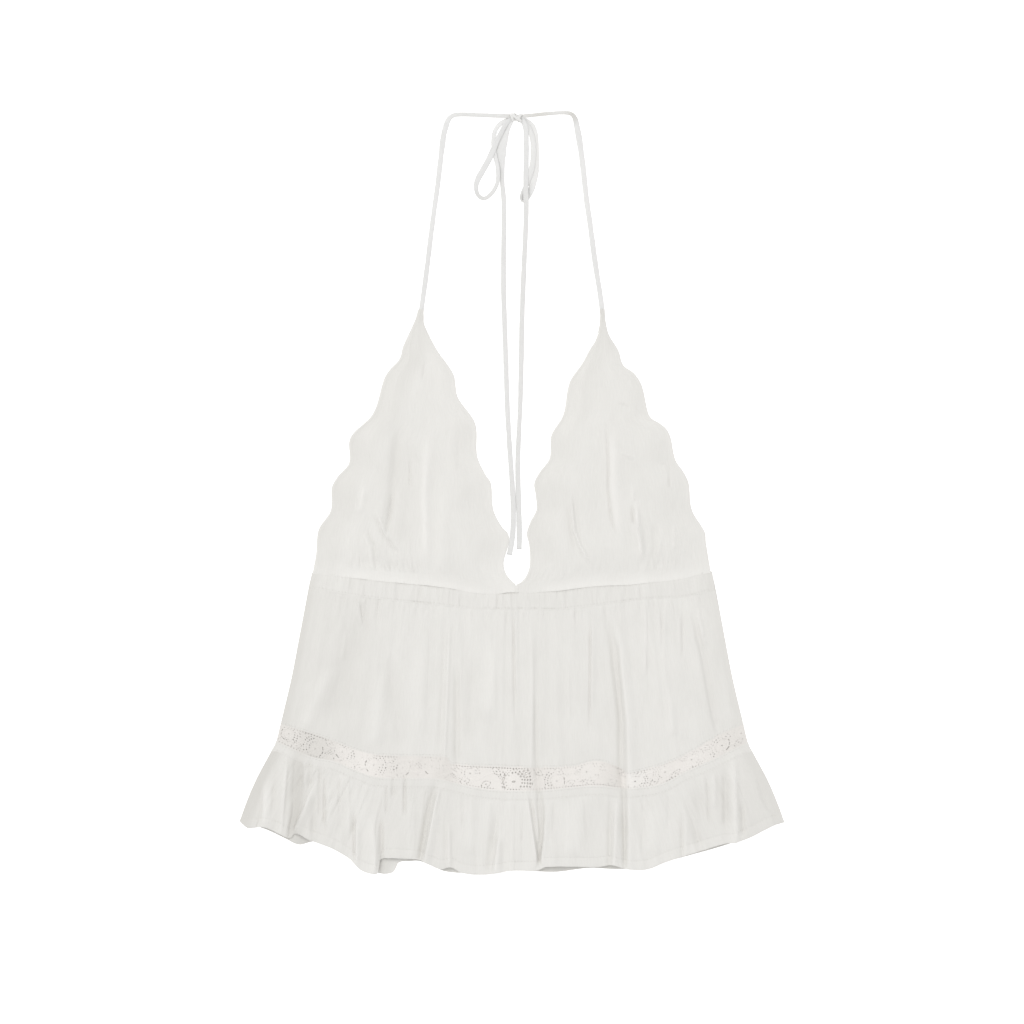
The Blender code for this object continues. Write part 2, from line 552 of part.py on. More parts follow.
for old in list(bpy.data.objects):
    bpy.data.objects.remove(old, do_unlink=True)
parts = bpy.data.collections.new("halter_peplum_top")
bpy.context.scene.collection.children.link(parts)

cup("cup_left", LEFT_ARMHOLE, LEFT_NECKLINE)
cup("cup_right", RIGHT_NECKLINE, RIGHT_ARMHOLE)
front_panel("casing_front", 0, 1, 1, GAUZE_COLOUR)
front_panel("skirt_front", 1, 2, 5, GAUZE_COLOUR)
front_panel("lace_front", 2, 3, 1, LACE_COLOUR)
front_panel("heading_front", 3, 4, 1, GAUZE_COLOUR)
front_panel("ruffle_front", 4, 5, 4, GAUZE_COLOUR)
back_panel("casing_back", 0, 1, 1, GAUZE_COLOUR)
back_panel("skirt_back", 1, 2, 3, GAUZE_COLOUR)
back_panel("lace_back", 2, 3, 1, LACE_COLOUR)
back_panel("heading_back", 3, 4, 1, GAUZE_COLOUR)
back_panel("ruffle_back", 4, 5, 3, GAUZE_COLOUR)
bow_knot()
tie("strap_left", STRAP_LEFT, STRAP_STEP)
tie("strap_right", STRAP_RIGHT, STRAP_STEP)
tie("bow_loop_left", LOOP_LEFT, LOOP_STEP)
tie("bow_loop_right", LOOP_RIGHT, LOOP_STEP)
tie("tail_left", TAIL_LEFT, STRAP_STEP)
tie("tail_right", TAIL_RIGHT, STRAP_STEP)
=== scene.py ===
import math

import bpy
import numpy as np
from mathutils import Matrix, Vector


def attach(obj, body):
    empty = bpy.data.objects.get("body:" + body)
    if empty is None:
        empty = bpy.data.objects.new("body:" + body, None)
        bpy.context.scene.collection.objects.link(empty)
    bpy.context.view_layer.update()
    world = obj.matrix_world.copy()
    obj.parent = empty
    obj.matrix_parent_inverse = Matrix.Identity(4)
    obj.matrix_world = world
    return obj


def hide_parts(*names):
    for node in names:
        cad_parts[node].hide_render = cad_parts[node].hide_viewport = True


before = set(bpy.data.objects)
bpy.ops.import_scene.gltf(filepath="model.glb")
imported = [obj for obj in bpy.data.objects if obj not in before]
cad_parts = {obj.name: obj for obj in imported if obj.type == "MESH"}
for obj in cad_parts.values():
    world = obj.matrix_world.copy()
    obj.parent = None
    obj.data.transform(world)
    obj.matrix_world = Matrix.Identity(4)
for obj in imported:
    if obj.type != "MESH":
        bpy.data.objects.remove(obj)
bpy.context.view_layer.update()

# A white halter-neck peplum top in crinkled cotton gauze, laid flat, front upwards, on a pale studio floor.
# X runs across the top, Y from its hem up to its neck ties, and Z up off the floor. Tables are in
# millimetres, and MM turns them into metres where a mesh is made.

MM = 0.001

# ---------------------------------------------------------------- sizes, in millimetres

CLOTH = 0.5  # gauze
LACE_THREAD = 0.45
BACK_CLOTH = 1.0  # height of the back's upper face off the floor
SEAM_GAP = 0.3
SIDE_LIFT = 0.45  # what FRONT_LIFT comes down to at the side seams
SEAM_PUFF = 1.4
SIDE_SOFTENING = 0.08  # share of the half width over which front and back come down to the side seam
PUFF_MARGIN = 0.2  # share over which the front's puff comes down there
SEAM_MIDDLE_Y = 3.2
SEAM_RISE = 18.0
SEAM_HALF_WIDTH = 180.0
CASING_HEIGHT = 15.0
CASING_SIDE_LOSS = 2.5
HEADING_HEIGHT = 8.0
HEM_TURNING = 8.5  # depth of the ruffle's turned hem
CUP_BAND = 9.0  # depth of the doubled strip along the foot of a cup
FRONT_LIFT = 1.0  # the front's upper face above the height that clears the back
CUP_LIFT = 0.75
BACK_SINK = 0.4
BACK_BELOW = 1.5  # the back's upper face below the front's along the lace
MEETING = (1.72, 0.24)  # level from which the back rises to the front there, and over how many levels
PARTING = (4.5, 0.5)  # level at which it has come away again, and over how many levels
HEM_CURL = 2.6  # how far the back's hem curls up beside the front's, and where
HEM_CURL_X = -111
LAP = 0.9  # how far one piece's edge lies over its neighbour's at a sewn seam
TUCK = 0.38  # how far the lace goes down under the cloth's edge
CASING_TOP_TUCK = 0.2
EDGE_ROW = 0.1  # the last row of points lies this far in from an edge
ROW_EASING = 0.4
CUP_EDGE_SHARE, PANEL_EDGE_SHARE = 0.0008, 0.0006  # and the last column, as a share of the width
CASING_TOP_LAP = 1.4
EDGE_DIP = 0.27  # how far an edge that lies over the lace is pressed down
SKIRT_HEIGHT = 150
RUFFLE_HEIGHT = 60
LACE_HALF_WIDTH = 212
CASING_GRAIN, SKIRT_GRAIN, HEADING_GRAIN, RUFFLE_GRAIN = 260, 270, 290, 330  # half widths of the flat cuts
# Half widths that the streaks of the whole front, and of each of its pieces, are measured over
FRONT_SPAN, CASING_SPAN, SKIRT_SPAN, RUFFLE_SPAN = 200, 185, 195, 228

# Cups, as shares of a cup's height or width
CUP_DOME = 7.0
CUP_APEX_SLOPE = 0.55
CUP_FOOT_SLOPE = 0.14
CUP_FLAT_EDGE = 0.22
CUP_SEAM_REST = 0.09
CUP_SEAM_REST_CURVE = 1.5
CUP_SEAM_FOLLOW = 4
CUP_TIP_START, CUP_TIP_RUN = 0.955, 0.03  # its tip lies over the end of the tie
CUP_TIP_LIFT = 1.3
CUP_SIDE_EASING = 0.45  # how much closer together its points lie towards both edges

FRONT_GATHERS = 28
BACK_GATHERS = 14
GATHER_MEAN_SIZE = 0.7
GATHER_SIZE_SWING = 0.3
GATHER_SIZE_PACE = 1.9
GATHER_DRIFT = ((0.013, 6.1), (0.006, 15.0))  # size, half waves across
DRIFT_MARGIN = 0.125
CREASE_SWELL = 0.25
CREASE_WIDTH = 0.17
RIDGE_PAINTED_LIGHT, TROUGH_PAINTED_SHADE = 0.13, 0.07  # painted light on a ridge and painted shade in a trough, for each millimetre of a fold's height
FOLD_PAINT_LIMITS = (-0.36, 0.40)

FOLD_OVERRUN = 0.1
FOLD_FADE_IN = 0.4
FOLD_FADE_OUT = 0.25
LATTICE = (512, 128)  # how many streaks across and along before they repeat

SIDE_SEAM = (  # y, half width
    (21.2, 180.2), (8.7, 183), (-39, 192), (-75, 199), (-114, 208.3), (-133, 212.8), (-141, 217), (-165, 230),
    (-183, 238), (-203, 245.5),
)
LACE_TOP, LACE_BOTTOM = 1, 2
LACE = (  # x, top edge y, bottom edge y
    (-212, -113, -131.5), (-181, -122, -145), (-160, -129, -149), (-140, -137, -157.5), (-121, -141.5, -163.5),
    (-71, -143, -164.5), (-58.6, -144, -166.5), (-54.6, -149.6, -168), (-21, -151.5, -174.5), (21, -153, -175.5),
    (56, -151.5, -172.5), (76, -147, -171), (94.5, -152, -173), (103, -157, -173.5), (109, -157.4, -173.5),
    (136, -150, -169), (156, -141.5, -158.5), (182, -126.5, -147), (197, -119, -139.5), (212, -113, -132.5),
)
FRONT_HEM = (  # x, y
    (-245.5, -202.5), (-238, -208.5), (-223, -207.5), (-205, -215.5), (-199, -217), (-194, -213.5), (-181, -219.5),
    (-163, -226), (-146, -236), (-136, -246), (-124, -249.5), (-120.4, -247), (-118.6, -237.4), (-110, -235.4),
    (-100, -235.5), (-83, -237), (-65, -245), (-55, -243.5), (-46, -248), (-33, -250), (-18, -249.5), (0, -246.5),
    (22, -246.5), (31, -243), (77, -243), (92, -241.5), (100, -244.5), (115, -246), (125, -244.5), (134, -240.5),
    (153, -234), (192, -222), (200, -221.5), (216, -216), (234, -207), (245.5, -203.5),
)
BACK_HEM = (  # x, y
    (-245.5, -202.5), (-225, -208.6), (-205, -217.5), (-192, -223.5), (-178, -220.8), (-160, -226), (-140, -238.4),
    (-126, -246.5), (-118, -249.6), (-110, -249.2), (-105.4, -246.6), (-102.4, -239.8), (-92, -238.4),
    (-83, -238.4), (-60, -247.5), (-33, -249), (0, -247), (40, -248), (70, -244.5), (92, -245.5), (115, -245),
    (134, -240), (153, -235), (175, -229), (192, -224), (216, -216), (234, -207), (245.5, -203.5),
)
# Levels down the front: 0 underbust seam, 1 casing stitch line, 2 lace top, 3 lace bottom, 4 heading
# bottom, 5 hem.
SIDE_Y, PUFF, SKIRT_GATHER, RUFFLE_GATHER, BACK_GATHER = 1, 2, 3, 4, 5
LEVELS = (  # level, then the columns named above
    (0, 21.2, 1.4, 0.2, 0, 0.25),
    (1, 8.7, 1.6, 0.3, 0, 0.35),
    (1.4, -40.4, 3, 0.35, 0, 0.3),
    (2, -114, 2.8, 0.2, 0.05, 0.15),
    (3, -133, 2.8, 0.1, 0.15, 0.15),
    (4, -141, 2.6, 0, 0.35, 0.4),
    (5, -203, 4, 0, 0.9, 0.9),
)

# Folds, from the upper end down. Height is a ridge, or a trough where negative; lean is how far its
# crest lies over to the right, or to the left where negative.
SKIRT_FOLDS = (  # route, width, height, lean
    (((-133, -8), (-138, -34), (-149, -70), (-164, -112)), 24, -3, 0),
    (((-135.5, -6), (-131.5, -30)), 4, -2.2, 0),
    (((-140, -6), (-136, -26)), 5, 1, 1.2),
    (((-150, -32), (-152, -56)), 4, 0.9, 0),
    (((-165, -66), (-186, -120)), 14, 2.2, 0),
    (((-190, -40), (-200, -108)), 7, -1.2, 0),
    (((-118, -70), (-125, -134)), 12, 2.2, 0),
    (((-109, -58), (-99, -136)), 13, -2.4, 0),
    (((-87, -40), (-84, -120)), 16, 1.4, 0),
    (((-56, -14), (-58, -80), (-61, -150)), 3.8, 1.9, 0),
    (((-60.5, -20), (-62.5, -80), (-66, -140)), 4, -0.9, 0),
    (((-50, -54), (-49.6, -152)), 6, -2.6, 0),
    (((-20, -36), (-17, -70), (-22, -108)), 17, 2.8, 0),
    (((-33, -58), (-38, -134)), 12, -2.4, 0),
    (((1.4, -4), (1.8, -50), (2.6, -108)), 2.6, -1.2, 0),
    (((4.2, -4), (4.6, -50), (5.6, -90)), 3.4, 1.2, -1),
    (((17.6, -26), (17.4, -80), (16.6, -156)), 5.6, 1.8, 0.7),
    (((21.8, -84), (21.4, -118), (23, -172)), 4.6, -1.7, 0),
    (((29, -96), (30, -150)), 9, -1.2, 0),
    (((51, -60), (51.5, -112)), 3.2, 0.9, 0),
    (((70.8, -18), (70.4, -60), (70, -118)), 2.5, -1.3, 0),
    (((73.6, -14), (73.2, -60), (72.6, -104)), 3.6, 1.3, -1.2),
    (((86, -18), (92, -48), (95.2, -80), (98.2, -111), (99.5, -176)), 7.6, -3.6, 0),
    (((92.5, -22), (100.2, -48), (103.6, -80), (107, -111), (108, -176)), 9.5, 3.2, -2.4),
    (((119, -2), (119, -70)), 5, 1.4, 1.2),
    (((134.8, -8), (134.8, -52)), 2.5, -0.9, 0),
    (((137.8, -8), (137.8, -44)), 3.4, 0.9, -0.8),
    (((153.6, -10), (153.6, -52)), 2.5, -0.9, 0),
    (((150.8, -12), (150.8, -40)), 3.2, 0.7, 0),
    (((143, -86), (144, -124)), 8, 1.7, 0),
    (((167, -8), (173, -44)), 5, 1.6, 0),
    (((163, -14), (170, -42), (184, -120)), 6, -2.4, 0),
    (((190, -60), (198, -112)), 9, 1.4, 0),
)
RUFFLE_FOLDS = (
    (((-227, -150), (-227.5, -203)), 5, -2.8, 0),
    (((-220, -164), (-220, -206)), 10, 2.8, -1.6),
    (((-190.5, -138), (-193, -180), (-197, -222)), 9, -5.4, 0),
    (((-181, -146), (-182, -170)), 5, -2, 0),
    (((-176, -168), (-184, -190), (-195, -214)), 6.5, 3.6, -2.4),
    (((-188, -146), (-187, -170)), 4, 1.8, 0),
    (((-203, -140), (-206, -178), (-209, -214)), 5, 2.4, 1.2),
    (((-190.5, -152), (-192, -174), (-193.8, -188), (-199, -206), (-201, -216)), 3, -3.2, 0),
    (((-172.6, -150), (-173.6, -200)), 2.6, -1.6, 0),
    (((-212, -146), (-215, -196)), 2.8, -1.4, 0),
    (((-156, -160), (-155, -196)), 2.8, -1.3, 0),
    (((-148, -164), (-147, -214)), 4, 1.2, 0.6),
    (((-113, -168), (-113, -196)), 2.6, -1.4, 0),
    (((-62, -172), (-66, -196)), 2.6, -0.9, 0),
    (((-44, -182), (-45, -206)), 2.6, -0.7, 0),
    (((8, -186), (9, -222)), 2.6, -0.8, 0),
    (((38, -182), (37, -212)), 2.6, -0.7, 0),
    (((118, -180), (117, -232)), 2.6, -0.7, 0),
    (((141, -176), (140, -208)), 2.6, -0.7, 0),
    (((175, -160), (177, -206)), 2.6, -1.4, 0),
    (((-177, -180), (-179, -212)), 6, -2.2, 0),
    (((-168.6, -156), (-168.6, -208)), 2.6, -1.7, 0),
    (((-164.5, -170), (-164.5, -206)), 7, 1.6, -0.8),
    (((-142, -192), (-141.6, -238)), 2.6, -1.7, 0),
    (((-138.6, -198), (-138, -240)), 4, 1.8, -1.2),
    (((-127, -200), (-126, -252)), 8, 3.2, 2.4),
    (((-118, -196), (-117.4, -244)), 5, -3, 0),
    (((-107, -163), (-107, -180)), 4, -1.6, 0),
    (((-96.4, -160), (-96.8, -196)), 3, -2.2, 0),
    (((-69, -166), (-77.5, -206), (-83.5, -242)), 6.2, -3.8, 0),
    (((-63.5, -172), (-70, -206), (-77, -242)), 6, 3.4, -2.2),
    (((-90, -180), (-92, -238)), 9, 1.6, 1),
    (((-57, -204), (-56, -242)), 4, 2.2, 0),
    (((-36, -184), (-38, -230)), 16, 1.8, 0),
    (((-12, -188), (-22, -252)), 9, -2.2, 0),
    (((-9, -212), (-14.5, -250)), 6.5, 3, -1.8),
    (((12, -176), (16, -205), (21, -240)), 4, 2.2, 1.4),
    (((16.5, -178), (20.5, -206), (24.5, -236)), 3, -1.8, 0),
    (((24.2, -172), (27.2, -212), (24.6, -240)), 5.4, -4.8, 0),
    (((31, -196), (30.5, -216), (27, -240)), 3.8, 2.2, -1.6),
    (((54, -182), (54, -232)), 18, 2.4, 0),
    (((71, -188), (71, -242)), 15, -1.3, 0),
    (((88.5, -180), (87.4, -248)), 4.6, -1.9, 0),
    (((95.4, -182), (94.2, -212), (92.4, -248)), 5.4, 3, -1.2),
    (((101.2, -160), (101.4, -248)), 4.4, -3.4, 0),
    (((107, -178), (107, -246)), 7, 1.8, -1.2),
    (((128, -190), (127, -230)), 15, 1.4, 0),
    (((152.6, -190), (152.6, -240)), 2.8, -1.4, 0),
    (((156.4, -200), (156.4, -236)), 4.6, 1, 0),
    (((167, -172), (168, -226)), 15, -2.2, 0),
    (((182, -157), (182, -190)), 5, 1.8, 0),
    (((192, -156), (192, -206)), 5.4, -2.4, 0),
    (((198.6, -144), (199.5, -180), (200.5, -226)), 7, 3.4, 1.2),
    (((206.4, -184), (208, -214)), 4.4, -2, 0),
    (((217, -144), (229, -190)), 4.4, -2.2, 0),
    (((226, -180), (238, -204)), 3.6, -1.6, 0),
    (((229, -178), (236, -203)), 4.6, 1.4, 0),
)
CUP_FOLDS = (
    (((-101, 158), (-104, 130), (-107, 96), (-112, 62)), 10, -3.2, 0),
    (((-107.4, 96), (-110, 76), (-113.6, 54)), 2.6, -1.6, 0),
    (((-113.6, 54), (-109, 48), (-103.5, 40)), 3.6, -1.8, 0),
    (((-91.8, 124), (-91.8, 98)), 2.2, -1.2, 0),
    (((-75.6, 142), (-79, 92), (-77, 34)), 9.5, 3, 0),
    (((-93, 152), (-95, 100), (-96, 46)), 19, -2.6, 0),
    (((-133, 98), (-137, 76)), 7, 1.6, 0),
    (((-123.4, 74), (-119, 62), (-114, 52)), 2.8, -1.4, 0),
    (((-120.6, 74), (-116, 62), (-111.6, 52)), 3.2, 1.2, 0),
    (((-131.4, 62), (-124, 46), (-122.8, 24)), 2.6, -1.4, 0),
    (((-134, 58), (-128, 44), (-126, 26)), 3.6, 1.2, 0),
    (((-92.6, 54), (-91.8, 24)), 3, 1.2, 0),
    (((-60, 96), (-66, 20)), 13, 1.4, 0),
    (((-48.8, 174), (-43.5, 168), (-39, 160)), 3, -1.4, 0),
    (((84.6, 158), (86.8, 123), (86.6, 96), (89.6, 70), (93, 56)), 2.4, -1.6, 0),
    (((90.2, 150), (92.8, 123), (93, 96), (96.2, 70), (98, 56)), 11, 2.9, -1.4),
    (((109, 100), (109, 86)), 3, 1, 0),
    (((111.4, 84), (113, 62), (116.4, 34)), 5, 3.6, 0),
    (((108, 82), (109, 66)), 2.2, -1.6, 0),
    (((119.6, 66), (121.6, 40)), 4, -0.8, 0),
    (((52.8, 90), (56, 60), (60.6, 47), (67.6, 33)), 3.4, 2.6, 0),
    (((49.8, 84), (53, 58), (57, 44)), 2.6, -0.6, 0),
    (((141.4, 121), (142.2, 98)), 2.6, -2.6, 0),
    (((133, 120), (136.5, 119.6), (141, 118.6)), 6, -1.5, 0),
    (((99, 130), (103, 127), (107.5, 124)), 4, 1.2, 0),
    (((97, 174), (100, 172.6), (103.5, 171)), 4, -1, 0),
    (((132.6, 52), (130.4, 30)), 4, 1.4, 0),
    (((146, 64), (145.8, 42)), 3.2, 1.3, 0),
    (((54, 96), (59, 34)), 12, -1.4, 0),
    (((-1, 13), (-5, 4)), 3, -1, 0),
    (((-6, 16), (-11, 5)), 2.6, -0.8, 0),
    (((8, 14), (9.5, 3)), 2.6, -1, 0),
    (((11, 15), (13.6, 4)), 3, 1.1, 0),
    (((14, 16), (17.6, 5)), 2.6, -1, 0),
    (((-47.6, 152), (-48.5, 112)), 3.2, -0.6, 0),
    (((-78.5, 210), (-80, 196)), 3, -0.9, 0),
    (((128, 68), (129, 26)), 7, -1.6, 0),
)
SEAM_EDGE = (  # x, y of the foot of the cups
    (-182, 20.2), (-175.8, 19.8), (-166, 18.9), (-157, 18), (-148, 17.1), (-139, 16.2), (-130, 15.2), (-121, 14),
    (-112, 12.9), (-103, 12.3), (-94, 11.4), (-85, 10.6), (-76, 9.9), (-67, 8.7), (-58, 7.6), (-49, 6.1),
    (-40, 4.1), (-31, 2.9), (-22, 2.3), (-12, 2.4), (-4, 3.6), (5, 3.6), (14, 2.9), (23, 3.7), (32, 4.4), (41, 4.9),
    (50, 6.1), (59, 7.3), (68, 8.4), (77, 9.2), (86, 9.8), (95, 10), (104, 10.3), (113, 11.1), (122, 12.3),
    (131, 13.2), (140, 14), (149, 15.3), (158, 17), (167, 19.4), (176, 21), (182, 21.4),
)
SEAM_GAPE = (  # x, how far it stands off the casing
    (-180, 0.1), (-160, 0.2), (-148, 0.5), (-134, 0.9), (-126, 0.5), (-116, 0.7), (-108, 0.6), (-98, 1.3),
    (-90, 0.8), (-84, 0.8), (-77, 1.4), (-66, 1.3), (-58, 0.5), (-53, 0.9), (-44, 0.3), (-26, 0.4), (-14, 0.3),
    (-7, 1.5), (-1, 1.9), (3.4, 1.2), (8, 0.1), (22, 0.5), (36, 0.9), (46, 1.5), (60, 1.2), (72, 0.8), (84, 1.1),
    (104, 0.9), (122, 0.6), (134, 0.3), (156, 0.15), (170, 0.15), (180, 0.1),
)
STITCH_SHIFT = (  # x, how far the casing's foot lies above its even line
    (-182, -0.8), (-150, -0.6), (-112, 0.3), (-84, 1), (-60, 0.8), (-40, 0), (20, -0.5), (41, -1.7), (62, -0.8),
    (100, 0.5), (122, 0), (141, -2.4), (158, -4.6), (182, -3.4),
)
SKIRT_PAINTED_SHADE = (  # x, painted shade that greys the cloth, and where positive painted light that whitens it
    (-210, -0.42), (-186, -0.42), (-158, -0.36), (-128, -0.25), (-100, -0.11), (-60, -0.06), (60, -0.08),
    (95, -0.06), (120, 0.03), (160, 0), (175, -0.12), (192, -0.2), (210, -0.24),
)
# x, painted shade that greys the ruffle, deepest in its dark left fold, and where positive painted light
RUFFLE_PAINTED_SHADE = (
    (-246, -0.4), (-224, -0.42), (-203, -0.46), (-196, -0.9), (-190, -0.85), (-182, -0.4), (-160, -0.22),
    (-140, -0.08), (-120, -0.2), (-104, -0.32), (-88, -0.28), (-60, -0.26), (-40, -0.15), (-20, 0.05), (16, 0.05),
    (40, -0.08), (88, -0.12), (104, 0), (150, 0), (165, -0.12), (200, -0.28), (216, -0.4), (246, -0.42),
)
HEM_SHADE = (  # x, how dark the back's inside is where it shows under the front's hem
    (-246, 0), (-212, -0.1), (-204, -0.7), (-186, -0.7), (-180, -0.1), (-126, -0.1), (-120, -0.5), (-112, -0.5),
    (-106, 0.1), (-84, -0.5), (-60, -0.6), (-52, -0.1), (20, -0.2), (30, -0.7), (46, -0.6), (56, -0.3), (74, -0.6),
    (94, -0.7), (104, -0.1), (180, -0.2), (190, -0.6), (200, -0.3), (246, 0),
)
NET_CLOSENESS = 2
LACE_PAINTED_SHADE_AND_NET = (  # x, painted shade that greys the lace in the folds' shadows, and where positive painted light, how much closer its net is
    (-212, -0.65, 0.12), (-196, -0.75, 0.16), (-180, -1.2, 0.14), (-168, -1, 0.14), (-152, -0.2, 0.17),
    (-134, 0, 0.18), (-120, -0.22, 0.16), (-104, -0.62, 0.17), (-92, -0.5, 0.25), (-74, -0.42, 0.25),
    (-58, -0.7, 0.2), (-50, -0.15, 0.06), (-30, 0, 0.1), (-12, 0, 0.05), (0, 0, 0.04), (12, -0.15, 0),
    (20, -0.5, 0.05), (34, -0.25, 0.1), (48, -0.08, 0.12), (74, -0.08, 0.12), (84, -0.45, 0.16), (97, -0.6, 0.14),
    (102, 0.4, 0.06), (116, 0.5, 0.06), (124, 0.2, 0.05), (140, -0.15, 0.05), (160, -0.05, 0.14), (184, -0.3, 0.14),
    (200, -0.6, 0.13), (212, -0.6, 0.12),
)
STRIP_TONE, STRIP_DEPTH = 1, 2
CUP_STRIP = (  # x, how much whiter the doubled strip along the foot of a cup is, how far up it shows
    (-180, 0.3, 15), (-162, 0.32, 16), (-141, 0.42, 17), (-119, 0.44, 16), (-97, 0.44, 14), (-76, 0.4, 12.5),
    (-54, 0.44, 11), (-33, 0.4, 8), (-20, 0.1, 6), (-10, 0.03, 5), (6, 0.05, 5), (16, 0.2, 7), (30, 0.3, 9),
    (50, 0.38, 12), (72, 0.46, 16), (94, 0.46, 13), (116, 0.46, 12), (138, 0.44, 11), (158, 0.4, 9.5),
    (180, 0.34, 8.5),
)
CUP_SIDE_PAINTED_LIGHT = {-1: (-0.42, 0.18), 1: (0.0, -0.20)}  # painted shade and painted light beside the armhole, beside the neckline, which even out the dome's own shading
CUP_PUCKERS = (  # x, size of the small gathers just above the strip
    (-180, 0.1), (-150, 0.2), (-128, 1.1), (-104, 1.6), (-86, 1.3), (-70, 0.2), (-20, 0.1), (-8, 0.5), (14, 0.7),
    (30, 0.2), (50, 0.4), (80, 0.2), (112, 0.3), (126, 0.9), (140, 0.7), (156, 0.2), (180, 0.1),
)
CASING_STITCHES = (  # x, how deep the lower line of stitches is drawn in, which also paints shade into it
    (-180, 0.4), (-165, 0.1), (-96, 0.1), (-90, 0.9), (-74, 0.8), (-68, 0.1), (-28, 0.2), (-20, 1), (14, 0.8),
    (46, 0.9), (54, 0.1), (88, 0.1), (93, 0.8), (107, 0.8), (113, 0.1), (150, 0.1), (166, 0.4), (180, 0.3),
)

# The scalloped edges of the cups, from the underbust seam up to the tie
LEFT_ARMHOLE = (  # y, x
    (18, -179.6), (22.9, -179.4), (39.1, -176.5), (60.8, -174.2), (77.9, -163.4), (98.5, -162.4), (108.5, -156.9),
    (120.2, -146.9), (143.6, -145.5), (164.2, -125.7), (196.7, -115.1), (203.8, -110.6), (213.8, -101.6),
    (225.5, -98.1), (250.7, -86.8), (259, -84.6),
)
LEFT_NECKLINE = (
    (0, 3.6), (10.4, 3.4), (13.6, 0), (16.6, -2.8), (21.2, -5.7), (27.7, -7.4), (34.1, -6.7), (42, -4.4),
    (50, -2.6), (57.2, -3.8), (62.6, -9), (77.9, -16.6), (102.2, -19), (110.2, -24.1), (126.5, -31.2),
    (156.2, -33.2), (179.6, -48.7), (200.2, -52.7), (222.8, -67.9), (245.2, -79), (252, -79.4), (259, -79.8),
)
RIGHT_NECKLINE = (
    (0, 3.8), (10.4, 4), (12.6, 8), (17.6, 12.3), (25.1, 15.4), (34.1, 16.2), (47, 15.2), (56.2, 13.2), (67, 16.5),
    (77.9, 21.9), (91.4, 21.2), (102.2, 20), (112, 24.9), (123.8, 33.6), (145.3, 35.5), (163.3, 46), (193.1, 51.9),
    (210.2, 63.4), (222.8, 70.2), (230.8, 75.2), (243.5, 78.6), (252, 79.2), (259, 79),
)
RIGHT_ARMHOLE = (
    (18, 179.4), (22.9, 178.8), (49.1, 174.7), (58.1, 173.7), (77.9, 162.2), (102.2, 159.2), (112, 154.7),
    (122.9, 147.4), (143.6, 142.8), (151.7, 138.6), (157.1, 131.6), (159.8, 126.5), (165.2, 122.8), (190.3, 116.9),
    (201.2, 109.9), (208.3, 100.5), (221.8, 95.9), (236.2, 87.3), (250.7, 84), (259, 83),
)
CUP_ROWS = 170
CUP_COLUMNS = 174
CUP_TOP = 258.5
CUP_SIDE_FOOT = 21.0  # where its outer edge meets the casing
CUP_MIDDLE_FOOT = 3.4

# Neck ties: x and y of the solid cord's middle, and its z where it isn't CORD_Z
CORD_Z = 1.6
STRAP_LEFT = (
    (-82.4, 251), (-81.2, 261.5), (-78.2, 283), (-75.3, 306.5), (-72.9, 326.3), (-70.1, 348), (-67.1, 369.5),
    (-64.6, 391), (-62, 412.7), (-59.8, 422.6), (-57, 429.9), (-52.4, 433.4), (-45, 434.2), (-29, 433.6),
    (-12.6, 433), (-2.8, 432.8, 2.2), (1, 432.6, 2.8),
)
STRAP_RIGHT = (
    (81.8, 251), (80.8, 261.5), (78.8, 275.9), (76.2, 292), (73.6, 310), (71.5, 326.3), (69.6, 340.7), (67.4, 355),
    (65.4, 373), (63.2, 392.9), (60.7, 410.9), (58.6, 422.5), (56.6, 430.8), (52.4, 435), (43.2, 435.6),
    (29.7, 434.6), (18, 433.4), (10.8, 432.8, 2.2), (6.4, 432.4, 2.8),
)
LOOP_LEFT = (
    (0, 430.4, 2.4), (-6.6, 428.2, 1.8), (-12.4, 424), (-15.8, 417.6), (-16.9, 409.4), (-16.3, 402), (-14.8, 394.6),
    (-13, 386), (-12.7, 376), (-14.4, 369.4), (-18.8, 362.6), (-25.2, 358.4), (-30.8, 361.8), (-32.4, 369.6),
    (-30.4, 376.4, 2.2), (-27.2, 382.2, 3.4), (-21.4, 392.4, 4.9), (-17.6, 400.8, 5.1), (-14.2, 408.6, 5.1),
    (-10.4, 416.4, 5.1), (-7.2, 422.4, 5.1), (-4, 427, 5.1), (0, 430, 5.1),
)
LOOP_RIGHT = (
    (8.4, 430, 2.4), (13.6, 428, 1.8), (18.8, 423), (21.3, 415), (21.9, 405), (21.7, 395), (20.6, 383),
    (18.9, 372.6), (16.8, 364.2), (13.8, 357.8), (9.8, 356), (8.4, 359.4), (10.2, 365, 2), (13.6, 372, 2.8),
    (17.2, 383, 3.4), (19, 394, 3.4), (19.2, 404, 3.4), (18.4, 412.6, 3.4), (15.8, 420.4, 3.4), (12.4, 425.6, 3.4),
    (9.6, 428.4, 3.4),
)
TAIL_LEFT = (
    (1, 430.6, 3.4), (-1.6, 426.4, 3), (-4.4, 420.8, 2), (-6, 415.6), (-7.8, 410), (-9.6, 403), (-9.7, 397),
    (-9.2, 390.8), (-8.8, 383.8), (-8.7, 371.2), (-7.6, 358.6), (-7.2, 337), (-7.6, 311.8), (-7.6, 275.8),
    (-6.7, 244.4), (-5.6, 212.8), (-4.5, 176.8), (-3.2, 149.8), (-1.4, 122.8), (0.4, 95.8), (1.2, 73.4),
    (0.2, 52.6), (-2.4, 37.4),
)
